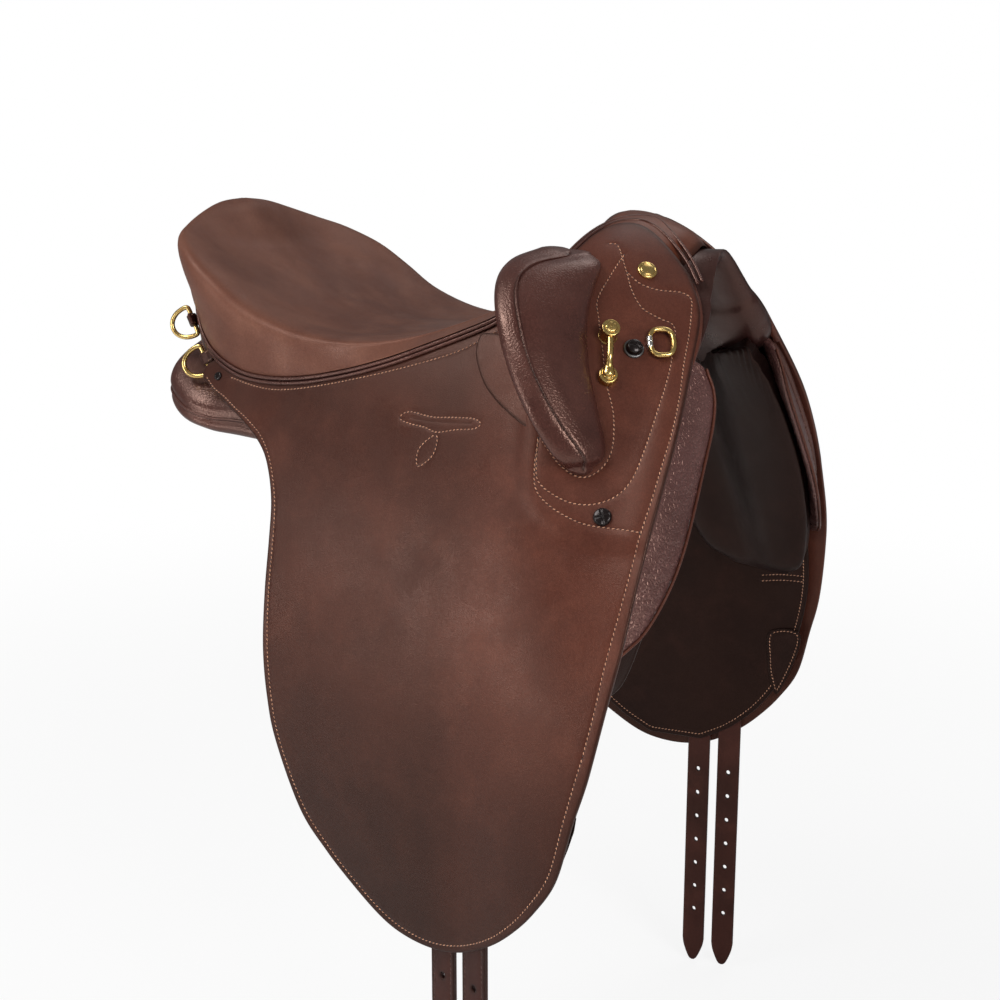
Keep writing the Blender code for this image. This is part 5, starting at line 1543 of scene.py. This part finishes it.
def make_ring(tag, side):
    centre, normal = at_skin(side, POST_AT, STUD_LIFT)
    post = turned(centre, normal, dome(POST_RADIUS, 0.0064, 0.0022), 64, (-0.5,), 0.0007)
    gather("ring_post_dome_" + tag, "saddle", "black_metal", black_metal, [post], "ring_post_" + tag)
    rim = turned(centre, normal, scaled(FERRULE_PROFILE, POST_RADIUS))
    gather("ring_post_ferrule_" + tag, "saddle", "steel", steel, [rim])
    centre, normal = at_skin(side, RING_AT, RING_LIFT)
    across, up = frame_of(normal)
    angles = around(44)
    wide = RING_HALF_WIDTH * squared(np.cos(angles))
    high = RING_HALF_HEIGHT * squared(np.sin(angles), RING_ROUNDNESS)
    path = even(centre + wide[:, None] * across + high[:, None] * up, 0.0010, True)
    body = "front_ring_" + tag
    ring = cord(path, RING_WIRE, 16, True, np.tile(normal, (len(path), 1)))
    gather("brass_ring_" + tag, body, "brass", brass, [ring], body)
    rear = -across if across[0] > 0 else across
    shells = []
    for offset in (-BAND_OFFSET, BAND_OFFSET):
        near = centre + rear * RING_HALF_WIDTH + up * offset
        band = np.array([near - up * BAND_HALF_LENGTH, near, near + up * BAND_HALF_LENGTH])
        shells.append(cord(curve(band, per=4), RING_WIRE * 1.16, 16))
    gather("ring_bands_" + tag, body, "steel", silver, shells)


def make_screws(tag, side):
    profile = dome(LOW_SCREW_RADIUS, 0.0034, 0.0010)
    head = turned(*at_skin(side, LOW_SCREW_AT, LOW_SCREW_LIFT), profile, 72, crossed(0.3), 0.0007)
    gather("facing_screw_" + tag, "saddle", "black_metal", black_metal, [head], "low_screw_" + tag)
    profile = dome(TAIL_SCREW_RADIUS, 0.0016, 0.0004)
    head = turned(*at_skin(side, TAIL_SCREW_AT, TAIL_SCREW_LIFT), profile, 56, (1.1,), 0.0005)
    gather("tail_screw_head_" + tag, "saddle", "black_metal", black_metal, [head], "tail_screw_" + tag)


def paint_frame():
    """Materials of the CAD nodes that stay in view."""
    paints = {"tree": tree_shell, "gullet_plate": steel}
    for tag, _ in SIDES:
        paints["stirrup_bar_" + tag] = steel
        paints["stirrup_catch_" + tag] = steel
    for name, paint in paints.items():
        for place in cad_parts[name].material_slots:
            place.material = paint


# Camera, lights, floor
CAMERA_AT = (0.6610, -1.0453, 0.1813)
CAMERA_TURN = 30.26
CAMERA_TILT = 12.5
CAMERA_LENS = 52.25
FLOOR_Z = -0.606
FLOOR_SIDES = 40
FLOOR_RINGS = 12
FLOOR_RADIUS = 0.35
FLOOR_GROWTH = 1.32
WORLD_LIGHT = 0.20


def make_stage():
    camera = bpy.data.objects.new("camera", bpy.data.cameras.new("camera"))
    bpy.context.scene.collection.objects.link(camera)
    camera.location = CAMERA_AT
    camera.rotation_euler = (math.radians(90.0 - CAMERA_TILT), 0.0, math.radians(CAMERA_TURN))
    camera.data.lens = CAMERA_LENS
    camera.data.sensor_width = 36.0
    camera.data.clip_end = 50.0
    bpy.context.scene.camera = camera
    for name, place, aim, size, power in (
            ("key", (-1.0, -1.5, 2.2), (0.0, 0.0, 0.0), 1.2, 44.0),
            ("front", (2.0, -1.2, 0.8), (0.2, 0.0, 0.0), 0.9, 30.0),
            ("sheen", (-1.3, -2.0, 0.15), (0.05, -0.2, -0.1), 0.8, 15.0),
            ("back", (0.3, 1.6, 2.6), (0.0, 0.0, 0.0), 1.4, 12.0)):
        lamp = bpy.data.objects.new(name, bpy.data.lights.new(name, "AREA"))
        lamp.data.size = size
        lamp.data.energy = power
        lamp.location = place
        lamp.rotation_euler = (Vector(aim) - Vector(place)).to_track_quat("-Z", "Y").to_euler()
        bpy.context.scene.collection.objects.link(lamp)
    world = bpy.data.worlds.new("studio")
    bpy.context.scene.world = world
    world.use_nodes = True
    tree = world.node_tree
    background = tree.nodes["Background"]
    background.inputs["Color"].default_value = (1.0, 1.0, 1.0, 1.0)
    path = tree.nodes.new("ShaderNodeLightPath")
    share = tree.nodes.new("ShaderNodeMapRange")
    share.inputs["To Min"].default_value = WORLD_LIGHT
    share.inputs["To Max"].default_value = 1.0
    tree.links.new(path.outputs["Is Camera Ray"], share.inputs["Value"])
    tree.links.new(share.outputs["Result"], background.inputs["Strength"])
    bpy.context.scene.view_settings.view_transform = "Standard"
    make_floor()


def make_floor():
    """A round floor that is as bright as the background far out, as the camera sees it."""
    verts = [(0.0, 0.0, FLOOR_Z)]
    for ring in range(FLOOR_RINGS):
        radius = FLOOR_RADIUS * FLOOR_GROWTH ** ring
        verts += [(radius * math.cos(a), radius * math.sin(a), FLOOR_Z) for a in around(FLOOR_SIDES)]
    faces = [(0, 1 + k, 1 + (k + 1) % FLOOR_SIDES) for k in range(FLOOR_SIDES)]
    faces += [tuple(1 + i for i in reversed(face)) for face in tube_faces(FLOOR_RINGS, FLOOR_SIDES)]
    paint = Paint("floor", Specular_IOR_Level=0.0)
    far = paint.node("VectorMath", "Value", {0: paint.place}, operation="LENGTH")
    seen = paint.node("LightPath", "Is Camera Ray", {})
    share = paint.node("Math", "Value", {0: seen, 1: paint.spread(far, 0.7, 2.4, 0.86, 1.0)},
                       operation="MULTIPLY")
    glow = paint.node("Emission", "Emission", {"Strength": 1.0})
    blend = paint.node("MixShader", "Shader", {"Fac": share, 1: paint.shader.outputs["BSDF"], 2: glow})
    paint.link(blend, paint.tree.nodes["Material Output"].inputs["Surface"])
    paint.finish(paint.mix(paint.noise(3.0), grey(0.86), grey(0.90)), 0.9)
    floor = piece("floor", verts, faces, paint.material)


make_stage()
paint_frame()
make_seat()
make_cantle()
make_head()
make_arch_pad()
make_head_welts()
for tag, side in SIDES:
    make_flap(tag, side)
    make_tongue(tag, side)
    make_knee_pad(tag, side)
    make_roll(tag, side)
    make_front_pad(tag, side)
    make_panel(tag, side)
    make_sweat_flap(tag, side)
    for index in (0, 1):
        make_strap(tag, side, index)
    for data in DEES:
        make_dee(tag, side, data)
    make_button(tag, side)
    make_staple(tag, side)
    make_ring(tag, side)
    make_screws(tag, side)
